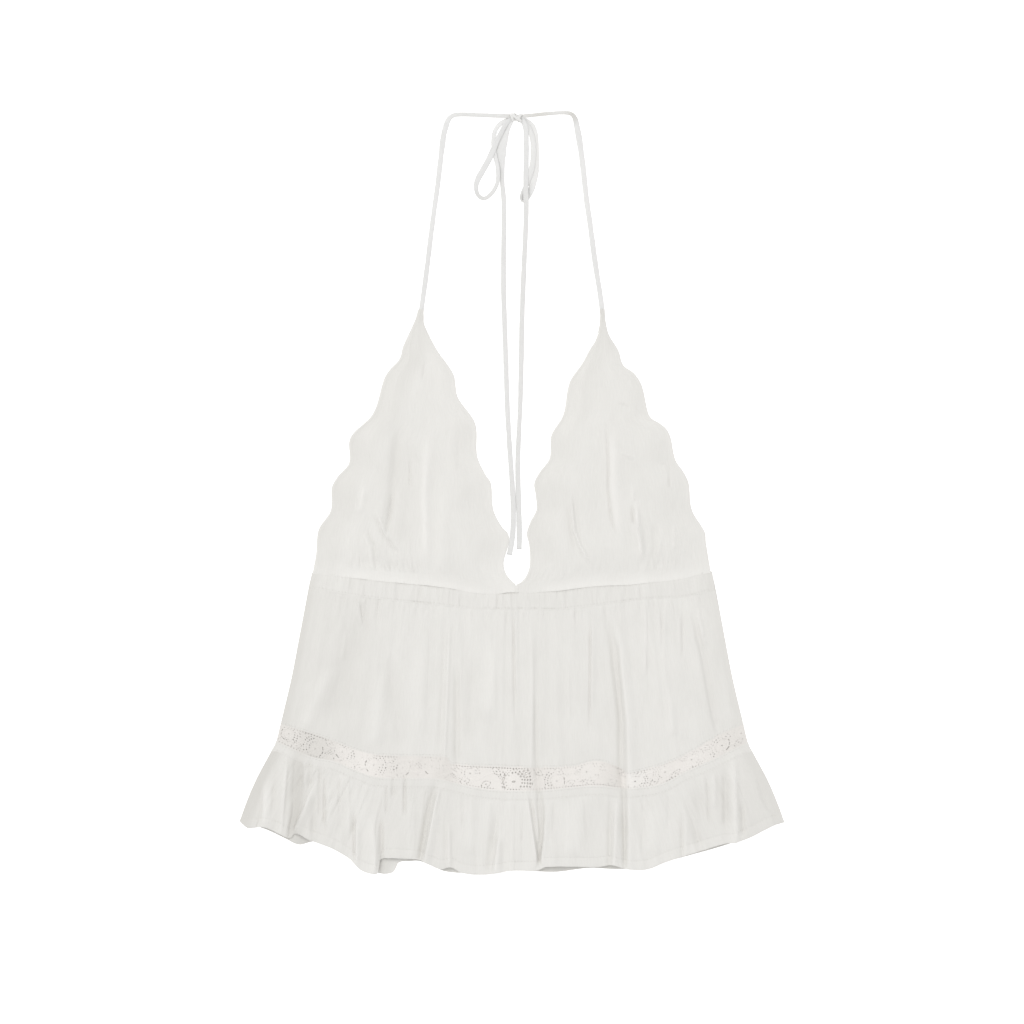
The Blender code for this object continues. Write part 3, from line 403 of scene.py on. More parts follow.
TAIL_RIGHT = (
    (7.6, 430.4, 5.1), (10.6, 426.6, 5.1), (12.2, 421.6, 5.1), (12.7, 415.6, 5.1), (12.8, 408, 5.1),
    (12.9, 397, 5.1), (12.5, 384, 5.1), (12.4, 367, 5.1), (12.8, 352, 5.1), (12.5, 337, 2.6), (11.4, 311.8),
    (9.9, 275.8), (8.8, 244.4), (8.3, 212.8), (7.5, 176.8), (6.3, 149.8), (5.2, 122.8), (5.6, 95.8), (6.3, 73.4),
    (6.6, 55.4), (6.3, 42.4),
)
TIE_WIDTH = 4.6  # the neck tie is a flat band, folded and sewn along one edge
TIE_THICKNESS = 1.1
TIE_STEP = 1.6
TIE_SIDES = 14
SPLINE_STEPS = 20  # between two points of a route
TIE_RIPPLE = 0.06
TIE_CROSSING = 0.58  # a flat tie passes over another this much lower than a round cord does
TIE_CLEARANCE = 0.05

# ---------------------------------------------------------------- camera, in the photograph's place

CAMERA_AIM_Y = 76.05  # middle of the picture
PICTURE_WIDTH = 921.6
LENS = 120.0
SENSOR = 36.0
CAMERA_FOCUS_Z = 4  # height at which the picture has its width

view = bpy.data.cameras.new("camera")
view.lens = LENS
view.sensor_width = SENSOR
camera = bpy.data.objects.new("camera", view)
camera.location = (0.0, CAMERA_AIM_Y * MM, PICTURE_WIDTH * LENS / SENSOR * MM + CAMERA_FOCUS_Z * MM)
bpy.context.scene.collection.objects.link(camera)
bpy.context.scene.camera = camera


# ---------------------------------------------------------------- shader maths


class Value:
    """A shader socket that takes part in sums."""

    def __init__(self, wiring, socket):
        self.wiring = wiring
        self.socket = socket

    def sum(self, operation, first, second):
        return self.wiring.node("ShaderNodeMath", {"operation": operation}, {0: first, 1: second})

    def __add__(self, other):
        return self.sum("ADD", self, other)

    def __radd__(self, other):
        return self.sum("ADD", other, self)

    def __sub__(self, other):
        return self.sum("SUBTRACT", self, other)

    def __rsub__(self, other):
        return self.sum("SUBTRACT", other, self)

    def __mul__(self, other):
        return self.sum("MULTIPLY", self, other)

    def __rmul__(self, other):
        return self.sum("MULTIPLY", other, self)

    def __pow__(self, other):
        return self.sum("POWER", self, other)


class Wiring:
    """The nodes of one material."""

    def __init__(self, name):
        self.material = bpy.data.materials.new(name)
        self.material.use_nodes = True
        self.tree = self.material.node_tree
        self.tree.nodes.clear()

    def node(self, kind, settings=None, inputs=None, output=0):
        made = self.tree.nodes.new(kind)
        for name, value in (settings or {}).items():
            setattr(made, name, value)
        for place, value in (inputs or {}).items():
            if isinstance(value, Value):
                self.tree.links.new(value.socket, made.inputs[place])
            else:
                made.inputs[place].default_value = value
        return Value(self, made.outputs[output])

    def stretched(self, place, across, along):
        """Places on the cloth, in units that are so many metres across and along its grain."""
        scale = (1.0 / across, 1.0 / along, 1.0)
        return self.node("ShaderNodeVectorMath", {"operation": "MULTIPLY"}, {0: place, 1: scale})

    def noise(self, place, detail):
        values = {"Vector": place, "Scale": 1.0, "Detail": detail, "Roughness": 0.5}
        return self.node("ShaderNodeTexNoise", {"noise_dimensions": "2D"}, values)

    def threads(self, place, direction):
        settings = {"wave_type": "BANDS", "bands_direction": direction, "wave_profile": "SIN"}
        values = {"Vector": place, "Scale": 0.5, "Distortion": 0.6, "Detail": 1.0}
        return self.node("ShaderNodeTexWave", settings, values, output=1)

    def finished(self, shader):
        output = self.tree.nodes.new("ShaderNodeOutputMaterial")
        self.tree.links.new(shader.socket, output.inputs["Surface"])
        return self.material

    def mix(self, share, first, second):
        settings = {"data_type": "RGBA", "blend_type": "MIX"}
        return self.node("ShaderNodeMix", settings, {0: share, 6: first, 7: second}, output=2)


def colour(red, green, blue):
    return (red, green, blue, 1.0)


CLOUD_SIZE = (0.022, 0.034)
BUMP_DEPTH = 0.0004
# Colours that each point's painted light and shade mix the cloth towards: painted shade, and painted light, which is
# also the whiteness of doubled cloth
IN_SHADE = colour(0.60, 0.585, 0.55)
DOUBLED_AND_PAINTED_LIGHT = colour(0.90, 0.885, 0.855)


def woven(name, light, dark, crinkle, weave, strength):
    """Cotton: two colours in fine slubs, and a bump of crinkle streaks and woven threads.
    crinkle is (width, length) of a streak and weave the pitch of a thread, in metres."""
    wiring = Wiring(name)
    place = wiring.node("ShaderNodeUVMap", {"uv_map": "cloth"})
    slubs = wiring.noise(wiring.stretched(place, crinkle[0] * 0.8, crinkle[1] * 0.5), 3.0)
    clouds = wiring.noise(wiring.stretched(place, *CLOUD_SIZE), 1.0)
    range_values = {"Value": slubs * 0.6 + clouds * 0.4, "From Min": 0.34, "From Max": 0.66}
    share = wiring.node("ShaderNodeMapRange", {}, range_values)
    streaks = wiring.noise(wiring.stretched(place, *crinkle), 2.0)
    thread_place = wiring.stretched(place, weave / math.pi, weave / math.pi)
    threads = wiring.threads(thread_place, "X") * 0.5 + wiring.threads(thread_place, "Y") * 0.5
    relief = {"Strength": strength, "Distance": BUMP_DEPTH, "Height": streaks * 0.85 + threads * 0.15}
    # Painted light and shade at each point, from the attribute that every piece gives its points
    doubling_and_painted_light = wiring.node("ShaderNodeAttribute", {"attribute_name": "doubling_and_painted_light"}, output=2)
    shaded = wiring.mix(doubling_and_painted_light * -0.5, wiring.mix(share, dark, light), IN_SHADE)
    values = {
        "Base Color": wiring.mix(doubling_and_painted_light * 0.5, shaded, DOUBLED_AND_PAINTED_LIGHT),
        "Roughness": 0.88,
        "Sheen Weight": 0.25,
        "Sheen Roughness": 0.5,
        "Normal": wiring.node("ShaderNodeBump", {}, relief),
    }
    shader = wiring.node("ShaderNodeBsdfPrincipled", {}, values)
    return wiring.finished(shader)


GAUZE = woven(
    "crinkled_gauze", colour(0.785, 0.773, 0.742), colour(0.755, 0.743, 0.712), (0.0016, 0.022), 0.0005, 0.35
)
LACE_COTTON = woven(
    "lace_cotton", colour(0.84, 0.81, 0.775), colour(0.80, 0.77, 0.735), (0.0007, 0.0011), 0.0004, 0.5
)
TIE_COTTON = woven(
    "tie_cotton", colour(0.775, 0.774, 0.766), colour(0.735, 0.734, 0.726), (0.0011, 0.009), 0.0005, 0.4
)
SEWING_THREAD = woven(
    "sewing_thread", colour(0.78, 0.765, 0.735), colour(0.70, 0.685, 0.655), (0.0004, 0.0008), 0.0003, 0.3
)


# ---------------------------------------------------------------- the lie of the cloth


def smoothstep(value):
    """A soft step from 0 to 1, over values from 0 to 1."""
    value = np.clip(value, 0.0, 1.0)
    return value * value * (3.0 - 2.0 * value)


def eased(share, easing):
    """Shares from 0 to 1, brought closer together near the ends."""
    return easing * (0.5 - 0.5 * np.cos(np.pi * share)) + (1 - easing) * share


def bell(distance, width):
    return np.exp(-((distance / width) ** 2))


def groove(distance, depth, width):
    """The height of a valley along a line of stitches."""
    return -depth * bell(distance, width / 2)


def read(table, place, column=1):
    """The table's value at places in its first column, along a smooth curve through the rows."""
    rows = np.array(table, float)
    if rows[-1, 0] < rows[0, 0]:
        rows = rows[::-1]
    place = np.asarray(place, float)
    last = len(rows) - 2
    at = np.clip(np.searchsorted(rows[:, 0], place, side="right") - 1, 0, last)
    before, low = rows[np.maximum(at - 1, 0)], rows[at]
    high, after = rows[at + 1], rows[np.minimum(at + 2, last + 1)]
    span = high[..., 0] - low[..., 0]
    t = np.clip((place - low[..., 0]) / span, 0.0, 1.0)
    low_slope = (high[..., column] - before[..., column]) / (high[..., 0] - before[..., 0]) * span
    high_slope = (after[..., column] - low[..., column]) / (after[..., 0] - low[..., 0]) * span
    return (
        low[..., column] * (1 + 2 * t) * (1 - t) ** 2
        + low_slope * t * (1 - t) ** 2
        + high[..., column] * t * t * (3 - 2 * t)
        - high_slope * t * t * (1 - t)
    )


def uneven(share):
    """Where the gathers lie across the front, in uneven steps."""
    drift = sum(size * np.sin(half_waves * np.pi * share) for size, half_waves in GATHER_DRIFT)
    return share + drift * np.minimum(1.0, np.minimum(share, 1 - share) / DRIFT_MARGIN)


EVEN_SHARES = np.linspace(0.0, 1.0, 2001)
UNEVEN_PLACES = 2 * uneven(EVEN_SHARES) - 1


def gather_wave(across, gathers):
    """Broad gathers of uneven size, from -1 to 1."""
    gather = np.interp(across, UNEVEN_PLACES, EVEN_SHARES) * gathers
    size = GATHER_MEAN_SIZE + GATHER_SIZE_SWING * np.sin(GATHER_SIZE_PACE * gather)
    return size * np.sin(2 * np.pi * gather)


def side_softness(across):
    """1 over most of the width, down to 0 at the side seams, where front and back are sewn together."""
    return smoothstep((1 - np.abs(across)) / SIDE_SOFTENING)


def level_y(level, x, hem):
    """Height up the garment of a whole-numbered level, at places across it."""
    seam = SEAM_MIDDLE_Y + SEAM_RISE * (x / SEAM_HALF_WIDTH) ** 2
    if level == 0:
        return seam
    if level == 1:
        return seam - CASING_HEIGHT + CASING_SIDE_LOSS * (x / SEAM_HALF_WIDTH) ** 2
    if level == 2:
        return read(LACE, x, LACE_TOP)
    if level == 3:
        return read(LACE, x, LACE_BOTTOM)
    if level == 4:
        return read(LACE, x, LACE_BOTTOM) - HEADING_HEIGHT
    return read(hem, x)


def place(across, level, hem):
    """Where a share of the width and a level lie on the floor."""
    across, level = np.broadcast_arrays(np.asarray(across, float), np.asarray(level, float))
    x, y = np.empty(across.shape), np.empty(across.shape)
    for upper in range(5):
        here = np.clip(np.floor(level), 0, 4) == upper
        share = level[here] - upper
        upper_side, lower_side = read(LEVELS, upper, SIDE_Y), read(LEVELS, upper + 1, SIDE_Y)
        x[here] = across[here] * read(SIDE_SEAM, upper_side + (lower_side - upper_side) * share)
        upper_y = level_y(upper, across[here] * read(SIDE_SEAM, upper_side), hem)
        lower_y = level_y(upper + 1, across[here] * read(SIDE_SEAM, lower_side), hem)
        y[here] = upper_y + (lower_y - upper_y) * share
    return x, y


def streaks(across, along, width, length, seed):
    """Uneven soft streaks down the cloth, from -1 to 1. All four sizes are in millimetres."""
    lattice = np.random.default_rng(seed).uniform(-1.0, 1.0, LATTICE)
    u, v = np.broadcast_arrays(across / width + LATTICE[0] / 2, along / length + LATTICE[1] / 2)
    i, j = np.floor(u).astype(int), np.floor(v).astype(int)
    s, t = smoothstep(u - i), smoothstep(v - j)
    i, j, right, down = i % LATTICE[0], j % LATTICE[1], (i + 1) % LATTICE[0], (j + 1) % LATTICE[1]
    upper = lattice[i, j] * (1 - s) + lattice[right, j] * s
    lower = lattice[i, down] * (1 - s) + lattice[right, down] * s
    return upper * (1 - t) + lower * t


def crinkle(across, along, seed):
    """The gauze's own crinkle, in millimetres of height."""
    coarse = streaks(across, along, 3.4, 38.0, seed) * 0.085
    fine = streaks(across + 0.6 * coarse, along, 1.5, 16.0, seed + 1) * 0.05
    return coarse + fine


def folded(folds, x, y):
    """Height of the folds at points of the cloth, and how far their crests lean to the right."""
    rise, lean_right = np.zeros(np.shape(x)), np.zeros(np.shape(x))
    for route, width, height, lean in folds:
        points = np.array(route, float)
        length = points[0, 1] - points[-1, 1]
        first = points[0] + (points[0] - points[1]) * FOLD_OVERRUN * len(points)
        final = points[-1] + (points[-1] - points[-2]) * FOLD_OVERRUN * len(points)
        points = np.vstack([first, points, final])
        along = (route[0][1] - y) / length
        middle = np.interp(-y, -points[:, 1], points[:, 0])
        fade = smoothstep((along + FOLD_OVERRUN) / FOLD_FADE_IN)
        fade = fade * smoothstep((1 + FOLD_OVERRUN - along) / FOLD_FADE_OUT)
        shape = fade * bell(x - middle, width / 2)
        rise += height * shape
        lean_right += lean * shape
    return rise, lean_right


def creases(across, along, spacing, length, seed):
    """Sharp uneven valleys, down to -1, between soft swells."""
    swell = streaks(across, along, spacing, length, seed)
    strength = smoothstep(0.45 + 1.1 * streaks(across, along, spacing * 0.8, length * 0.5, seed + 1))
    return CREASE_SWELL * np.abs(swell) - strength * bell(swell, CREASE_WIDTH)


def side_shade(across, half_width, left, right, reach):
    """Shade beside the side seams, of a strength on either side, over so many millimetres."""
    inward = (1 - np.abs(across)) * half_width
    return np.where(across < 0, left, right) * smoothstep((1.7 * reach - inward) / reach)


def painted_fold_shading(rise):
    """Painted light on ridges, where the cloth also lies doubled, and painted shade in troughs."""
    return np.clip(np.where(rise > 0, RIDGE_PAINTED_LIGHT, TROUGH_PAINTED_SHADE) * rise, *FOLD_PAINT_LIMITS)


def not_below(rise, softness=0.9):
    """Keeps a height off the layer below, with a soft turn."""
    return 0.5 * (rise + np.sqrt(rise * rise + softness * softness)) - 0.5 * softness * bell(rise, 1)


# Each face below gives x, y, z and its painted light and shade, whiter also where cloth lies doubled, at places from
# -1 to 1 across the top. In them u is the place across in millimetres, soft is side_softness, and the numbers
# of a streak or crease are its width, length and seed.


def front(across, level):
    """x, y, z and folds of the front's upper face, without what each piece adds."""
    x, y = place(across, level, FRONT_HEM)
    soft = side_softness(across)
    level = np.broadcast_to(level, x.shape)
    wave = gather_wave(across, FRONT_GATHERS)
    clear = BACK_CLOTH + 2 * read(LEVELS, level, BACK_GATHER) * soft + SEAM_GAP
    rise = read(LEVELS, level, PUFF) * smoothstep((1 - np.abs(across)) / PUFF_MARGIN)
    rise = rise + soft * (read(LEVELS, level, SKIRT_GATHER) + read(LEVELS, level, RUFFLE_GATHER)) * wave
    skirt_rise, skirt_lean = folded(SKIRT_FOLDS, x, y)
    ruffle_rise, ruffle_lean = folded(RUFFLE_FOLDS, x, y)
    folds = soft * (skirt_rise + ruffle_rise)
    u = across * FRONT_SPAN
    rise = rise + folds + soft * (streaks(u, y, 17, 60, 11) * 0.5 + streaks(u, y, 8, 34, 12) * 0.28)
    lift = SIDE_LIFT + (FRONT_LIFT - SIDE_LIFT) * soft
    return x + soft * (skirt_lean + ruffle_lean), y, clear + not_below(rise) + lift, folds


def tuck(distance, depth=TUCK, flat=1.4, reach=4.5):
    """How far cloth goes down near an edge that lies under its neighbour."""
    return depth * smoothstep((reach - distance) / (reach - flat))


def casing_front_face(across, v):
    """v runs from 0 at the underbust seam to 1 at the casing's lower edge."""
    x, y, z, folds = front(across, v)
    u, soft = across * CASING_SPAN, side_softness(across)
    y = y + (read(SEAM_EDGE, x) + CASING_TOP_LAP - level_y(0, x, FRONT_HEM)) * (1 - v) + read(STITCH_SHIFT, x) * v
    middle = np.sin(np.pi * np.clip(v, 0, 1)) ** 0.6
    ruche = 0.40 * streaks(u, v * 4, 4.2, 9, 21) + 0.42 * streaks(u, v * 8, 1.9, 7, 22)
    z = z + soft * middle * (0.2 + 1.2 * ruche) - tuck(v * CASING_HEIGHT, CASING_TOP_TUCK, 1.6, 3.4) * soft
    shows = read(CASING_STITCHES, x) * smoothstep(0.35 + 1.5 * streaks(u, v, 2.7, 5, 25))
    line = 0.4 * (bell((1 - v) * CASING_HEIGHT - 1.1, 0.75) * shows * soft)
    # Greyer overall, with painted light on the ruching's swells and painted shade in the stitch line's groove
    doubling_and_painted_light = -0.14 + painted_fold_shading(folds) + 0.24 * soft * middle * ruche - line
    doubling_and_painted_light = doubling_and_painted_light + side_shade(across, SEAM_HALF_WIDTH, -0.42, -0.30, 5)
    return x, y, z - line + soft * crinkle(u, y, 24), doubling_and_painted_light


def skirt_front_face(across, v):
    """v runs from 0 at the casing to 1 at the lace."""
    x, y, z, folds = front(across, 1 + v)
    u, soft = across * SKIRT_SPAN, side_softness(across)
    top, bottom = place(across, 1, FRONT_HEM)[1] - y, y - place(across, 2, FRONT_HEM)[1]
    start = smoothstep(top / 4)
    gathers = streaks(u, top, 3.6, 40, 31) * 0.75 + streaks(u, top, 1.9, 26, 32) * 0.45
    sharp = creases(u, top, 8, 60, 35)
    short = creases(u, top, 4.6, 22, 37) * np.exp(-top / 14)
    z = z + soft * start * gathers * (0.9 * np.exp(-top / 11) + 0.12)
    z = z + soft * start * (sharp * (0.7 * np.exp(-top / 16) + 0.17) + 0.5 * short)
    z = z + groove(bottom - 1.3, 0.12, 1.4) * soft - EDGE_DIP * smoothstep(1 - bottom)
    z = z - 0.2 * (1 - start) * (1 - smoothstep(top / 1.2))
    y = y + read(STITCH_SHIFT, x) * (1 - v) ** 3
    y = y - LAP * smoothstep((2.5 - bottom) / 2.5) + (1 - smoothstep(top / 2))
    # Painted shade in the creases and painted light on their swells; the narrow edge over the lace is whiter, as
    # doubled cloth and as a painted highlight
    doubling_and_painted_light = painted_fold_shading(folds) + 0.07 * sharp + 0.10 * short + read(SKIRT_PAINTED_SHADE, x)
    doubling_and_painted_light = doubling_and_painted_light + side_shade(across, 196, -0.42, -0.20, 5) + 0.12 * smoothstep((2.4 - bottom) / 0.8)
    return x, y, z + soft * crinkle(u, y, 34), doubling_and_painted_light


def lace_front_face(across, v):
    """v runs from 0 at the lace's upper edge to 1 at its lower edge."""
    x, y, z, folds = front(across, 2 + v)
    # Painted fold light and shade, and the lace's painted shade across its width
    return x, y, z - TUCK, painted_fold_shading(folds) + 0.1 + read(LACE_PAINTED_SHADE_AND_NET, x)


def heading_front_face(across, v):
    """v runs from 0 at the lace to 1 at the ruffle."""
    x, y, z, folds = front(across, 3 + v)
    u, down, soft = across * LACE_HALF_WIDTH, v * HEADING_HEIGHT, side_softness(across)
    z = z + soft * 0.22 * np.sin(np.pi * np.clip(v, 0, 1)) ** 0.7
    worn = smoothstep(0.5 + 1.2 * streaks(u, v, 5, 4, 41))
    z = z + groove(down - 1.1, 0.10, 1.3) * soft - EDGE_DIP * smoothstep(1 - down)
    z = z + groove(HEADING_HEIGHT - down - 0.8, 0.07, 1.5) * soft * worn
    y = y + LAP * smoothstep((0.25 - v) / 0.25)
    # Painted fold light and shade, with half the ruffle's painted shade
    return x, y, z + soft * crinkle(u, y, 42), -0.08 + painted_fold_shading(folds) + 0.5 * read(RUFFLE_PAINTED_SHADE, x)


def ruffle_front_face(across, v):
    """v runs from 0 at the heading to 1 at the hem's stitch line, and on to 2 at the hem."""
    height = place(across, 4, FRONT_HEM)[1] - place(across, 5, FRONT_HEM)[1]
    stitch = 1 - HEM_TURNING / height
    level = 4 + np.where(v <= 1, v * stitch, stitch + (v - 1) * (1 - stitch))
    x, y, z, folds = front(across, level)
    u, soft = across * RUFFLE_SPAN, side_softness(across)
    top = (level - 4) * height
    from_stitch = top - stitch * height
    gathers = streaks(u, top, 4.4, 46, 51) * 0.8 + streaks(u, top, 2.1, 24, 52) * 0.5
    lively = 0.50 + 0.62 * smoothstep((-x - 100) / 60)  # more so in the crumpled left half
    z = z + soft * lively * smoothstep(top / 5) * gathers * (0.8 * np.exp(-top / 16) + 0.34)
    sharp = creases(u + 0.10 * top * np.sin(u / 31), top, 6.5, 70, 57)
    sharp = sharp + 0.5 * creases(u, top, 3.4, 30, 59) * np.exp(-top / 22)
    z = z + soft * lively * smoothstep(top / 4) * sharp * 0.75
    worn = 0.35 + 0.65 * smoothstep(0.5 + 0.8 * streaks(u, top, 19, 8, 55))
    z = z + soft * worn * (0.22 * smoothstep(from_stitch) + groove(from_stitch, 0.26, 1.5))
    z = z + soft * 0.35 * streaks(u, top, 6.5, 8, 53) * smoothstep(from_stitch / HEM_TURNING)
    z = z - 0.35 * smoothstep((from_stitch - HEM_TURNING + 1.4) / 1.4)
    # Painted light and shade of the folds and creases; the turned hem below its stitches is whiter as doubled cloth
    doubling_and_painted_light = painted_fold_shading(folds) * np.where(folds > 0, 1.15, 1.4) + 0.11 * sharp + 0.08 * smoothstep(from_stitch / 1.2)
    doubling_and_painted_light = doubling_and_painted_light + read(RUFFLE_PAINTED_SHADE, x) + side_shade(across, 230, -0.80, -0.25, 7.5)
    return x, y, z + soft * crinkle(u, y, 54), doubling_and_painted_light


def back(across, level):
    """The back lies low, and rises to the front along the lace, where the two lie together."""
    x, y = place(across, level, BACK_HEM)
    level = np.broadcast_to(level, x.shape)
    soft = side_softness(across)
    height = BACK_CLOTH + read(LEVELS, level, BACK_GATHER) * (1 + gather_wave(across, BACK_GATHERS)) * soft
    fine = 0.35 * streaks(across * FRONT_SPAN, y, 9, 40, 61) * soft * smoothstep((height - BACK_CLOTH) / 0.4)
    z = np.maximum(height + fine, BACK_CLOTH - 0.1) - BACK_SINK
    z = z + HEM_CURL * bell(x - HEM_CURL_X, 9) * smoothstep((-y - 226) / 12)
    front_x, _, front_z, _ = front(across, np.minimum(level, 4.6))
    near = smoothstep((level - MEETING[0]) / MEETING[1]) * smoothstep((PARTING[0] - level) / PARTING[1]) * soft
    # Painted shade on the back's inside where it shows under the front's hem
    inside = read(HEM_SHADE, x) * smoothstep((-y - 200) / 10)
    return x + (front_x - x) * near, y, z + (front_z - BACK_BELOW - z) * near, inside


def back_face(level):
    """The face of the back's piece that starts at a level. v runs from 0 there to 1 at the next."""
    return lambda across, v: back(across, level + v)


def cup_face(armhole, neckline, side, seed):
    """A grid of points of a cup's upper face, from its foot up, and its grain. side is -1 or 1."""
    up = crisp(np.linspace(0, 1, CUP_ROWS), EDGE_ROW / CUP_TOP)[:, None]
    share = crisp(np.linspace(0, 1, CUP_COLUMNS), CUP_EDGE_SHARE)[None, :]
    s = eased(share, CUP_SIDE_EASING)  # 0 at the armhole, 1 at the neckline
    outer_y = CUP_SIDE_FOOT + (CUP_TOP - CUP_SIDE_FOOT) * up
    inner_y = CUP_MIDDLE_FOOT + (CUP_TOP - CUP_MIDDLE_FOOT) * up
    outer_x, inner_x = read(armhole, outer_y), read(neckline, inner_y)
    x, y = outer_x + (inner_x - outer_x) * s, outer_y + (inner_y - outer_y) * s
    seam_x = x[:1] + 0 * up
    foot = read(SEAM_EDGE, seam_x)
    y = y + (foot - y[:1]) * (1 - up) ** CUP_SEAM_FOLLOW
    from_foot = y - foot
    across = np.clip(seam_x / SEAM_HALF_WIDTH, -1, 1)
    seam_z = BACK_CLOTH + 0.5 * side_softness(across) + SEAM_GAP
    seam_z = seam_z + SEAM_PUFF * smoothstep((1 - np.abs(across)) / PUFF_MARGIN)
    casing_z = casing_front_face(across, np.full(across.shape, CASING_TOP_LAP / CASING_HEIGHT))[2]
    edge = smoothstep(np.minimum(s, 1 - s) / CUP_FLAT_EDGE)
    dome = CUP_DOME * edge * smoothstep(up / CUP_FOOT_SLOPE) * smoothstep((1 - up) / CUP_APEX_SLOPE)
    rise, lean = folded(CUP_FOLDS, x, y)
    above_band = smoothstep((from_foot - CUP_BAND) / 3)
    gathers = streaks(seam_x, from_foot, 4, 30, seed) * 0.9 + streaks(seam_x, from_foot, 2.2, 18, seed + 1) * 0.5
    gathers = gathers * above_band * (0.55 * np.exp(-from_foot / 24) + 0.07)
    puckers = streaks(seam_x, from_foot, 1.9, 9, seed + 5) * read(CUP_PUCKERS, seam_x)
    puckers = puckers * above_band * bell(from_foot - 15, 6.5)
    broad = streaks(x, y, 26, 60, seed + 2) * 0.25
    z = seam_z * np.exp(-((up / CUP_SEAM_REST) ** CUP_SEAM_REST_CURVE))
    z = z + not_below(dome + edge * (rise * smoothstep(from_foot / CUP_BAND) + broad + gathers), 0.4)
    z = z + CUP_LIFT + crinkle(seam_x * 0.6 + x * 0.4, y, seed + 3) * (0.35 + 0.65 * edge)
    z = z + 0.15 * smoothstep((CUP_BAND + 2.5 - from_foot) / 5) + groove(from_foot - CUP_BAND, 0.04, 1.5)
    z = z + 0.9 * puckers
    gape = np.maximum(read(SEAM_GAPE, seam_x) - 0.2, 0)
    z = z + (casing_z + 0.06 + 0.9 * gape - z) * bell(from_foot, 3.2)
    z = z + CUP_TIP_LIFT * smoothstep((up - CUP_TIP_START) / CUP_TIP_RUN)
    width = np.abs(inner_x - outer_x)
    rim = np.minimum(s, 1 - s) * width
    z = z + 0.26 * bell(rim - 1.6, 1.1) - 0.22 * bell(rim, 0.8)
    strip, strip_depth = read(CUP_STRIP, seam_x, STRIP_TONE), read(CUP_STRIP, seam_x, STRIP_DEPTH)
    doubling_and_painted_light = strip * np.clip(1 - (from_foot - 2) / (strip_depth - 2), 0, 1)
    # Painted light low on the cup against the shade of its gathers; painted fold light and shade, and painted light
    # on the puckers
    doubling_and_painted_light = doubling_and_painted_light + 0.12 * smoothstep((40 - from_foot) / 20)
    doubling_and_painted_light = doubling_and_painted_light + painted_fold_shading(edge * rise) * np.where(rise > 0, 1.9, 1.2) + 0.14 * puckers
    # Painted shade and painted light beside the cup's edges, against the shading of its dome
    for side_painted_light, inward in zip(CUP_SIDE_PAINTED_LIGHT[side], (s * width, (1 - s) * width)):
        doubling_and_painted_light = doubling_and_painted_light + side_painted_light * smoothstep(inward / 6 + 0.35) * smoothstep((32 - inward) / 18)
    made = (x + lean * edge, y, z, seam_x * 0.5 + x * 0.5, doubling_and_painted_light)
    return [values[:, ::-1] for values in made] if side > 0 else made


# ---------------------------------------------------------------- making pieces


def shown(obj, *nodes, slot=None):
    """Puts a piece in the scene, riding on the garment, in the place of its solids."""
    bpy.context.scene.collection.objects.link(obj)
    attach(obj, "root")
    if nodes:
        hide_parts(*nodes)
    return obj


def mesh_of(name, points, faces, cloth_places, material):
    """A mesh from points in millimetres, with each point's place on the flat cloth, in millimetres."""
    data = bpy.data.meshes.new(name)
    data.from_pydata((np.asarray(points, float) * MM).tolist(), [], faces)
    data.update()
    data.shade_smooth()
    layer = data.uv_layers.new(name="cloth")
    corner = np.empty(len(data.loops), np.int32)
    data.loops.foreach_get("vertex_index", corner)
    layer.uv.foreach_set("vector", (np.asarray(cloth_places, float)[corner] * MM).astype(np.float32).ravel())
    data.materials.append(material)
    return bpy.data.objects.new(name, data)


def toned(obj, doubling_and_painted_light):
    """Gives each point how much whiter or greyer it looks: up to 1 for doubled cloth and painted light, down to -1
    for thin cloth and painted shade.
    """
    layer = obj.data.attributes.new("doubling_and_painted_light", "FLOAT", "POINT")
    layer.data.foreach_set("value", np.asarray(doubling_and_painted_light).astype(np.float32).ravel())


def grid_faces(rows, columns):
    """Quads between the points of a grid, row by row."""
    i, j = np.meshgrid(np.arange(rows - 1), np.arange(columns - 1), indexing="ij")
    a = (i * columns + j).ravel()
    return np.stack([a, a + columns, a + columns + 1, a + 1], axis=1).tolist()


def thickened(obj, thickness):
    """Gives a piece its thickness, below the face that its points make."""
    wall = obj.modifiers.new("Thickness", "SOLIDIFY")
    wall.thickness = thickness * MM
    wall.offset = -1.0


def gauze_piece(name, x, y, z, grain, doubling_and_painted_light):
    """A piece of cloth from a grid of points of its upper face, rows going down it."""
    points = np.stack([x, y, z], axis=-1).reshape(-1, 3)
    places = np.stack([grain, y], axis=-1).reshape(-1, 2)
    obj = mesh_of(name, points, grid_faces(*x.shape), places, GAUZE)
    toned(obj, doubling_and_painted_light)
    thickened(obj, CLOTH)
    return shown(obj, name, slot="gauze")


def crisp(shares, margin):
    """Adds a place close to each end, so that the cloth's face keeps its shading up to its edge."""
    shares = np.asarray(shares, float)
    return np.concatenate([shares[:1], [shares[0] + margin], shares[1:-1], [shares[-1] - margin], shares[-1:]])


def panel(name, face, columns, rows, grain_width, height):
    """A piece that runs across the whole top. rows are v's values, and height is for its edge rows."""
    rows = crisp(rows, EDGE_ROW / height)
    columns = crisp(np.linspace(-1, 1, columns), PANEL_EDGE_SHARE)
    across, v = np.broadcast_arrays(columns[None, :], rows[:, None])
    x, y, z, doubling_and_painted_light = face(across, v)
    return gauze_piece(name, x, y, z, across * grain_width, doubling_and_painted_light)


def cup(name, armhole, neckline, side, seed):
    return gauze_piece(name, *(values[::-1] for values in cup_face(armhole, neckline, side, seed)))


def rows_of(count):
    return eased(np.linspace(0, 1, count), ROW_EASING)


# ---------------------------------------------------------------- lace

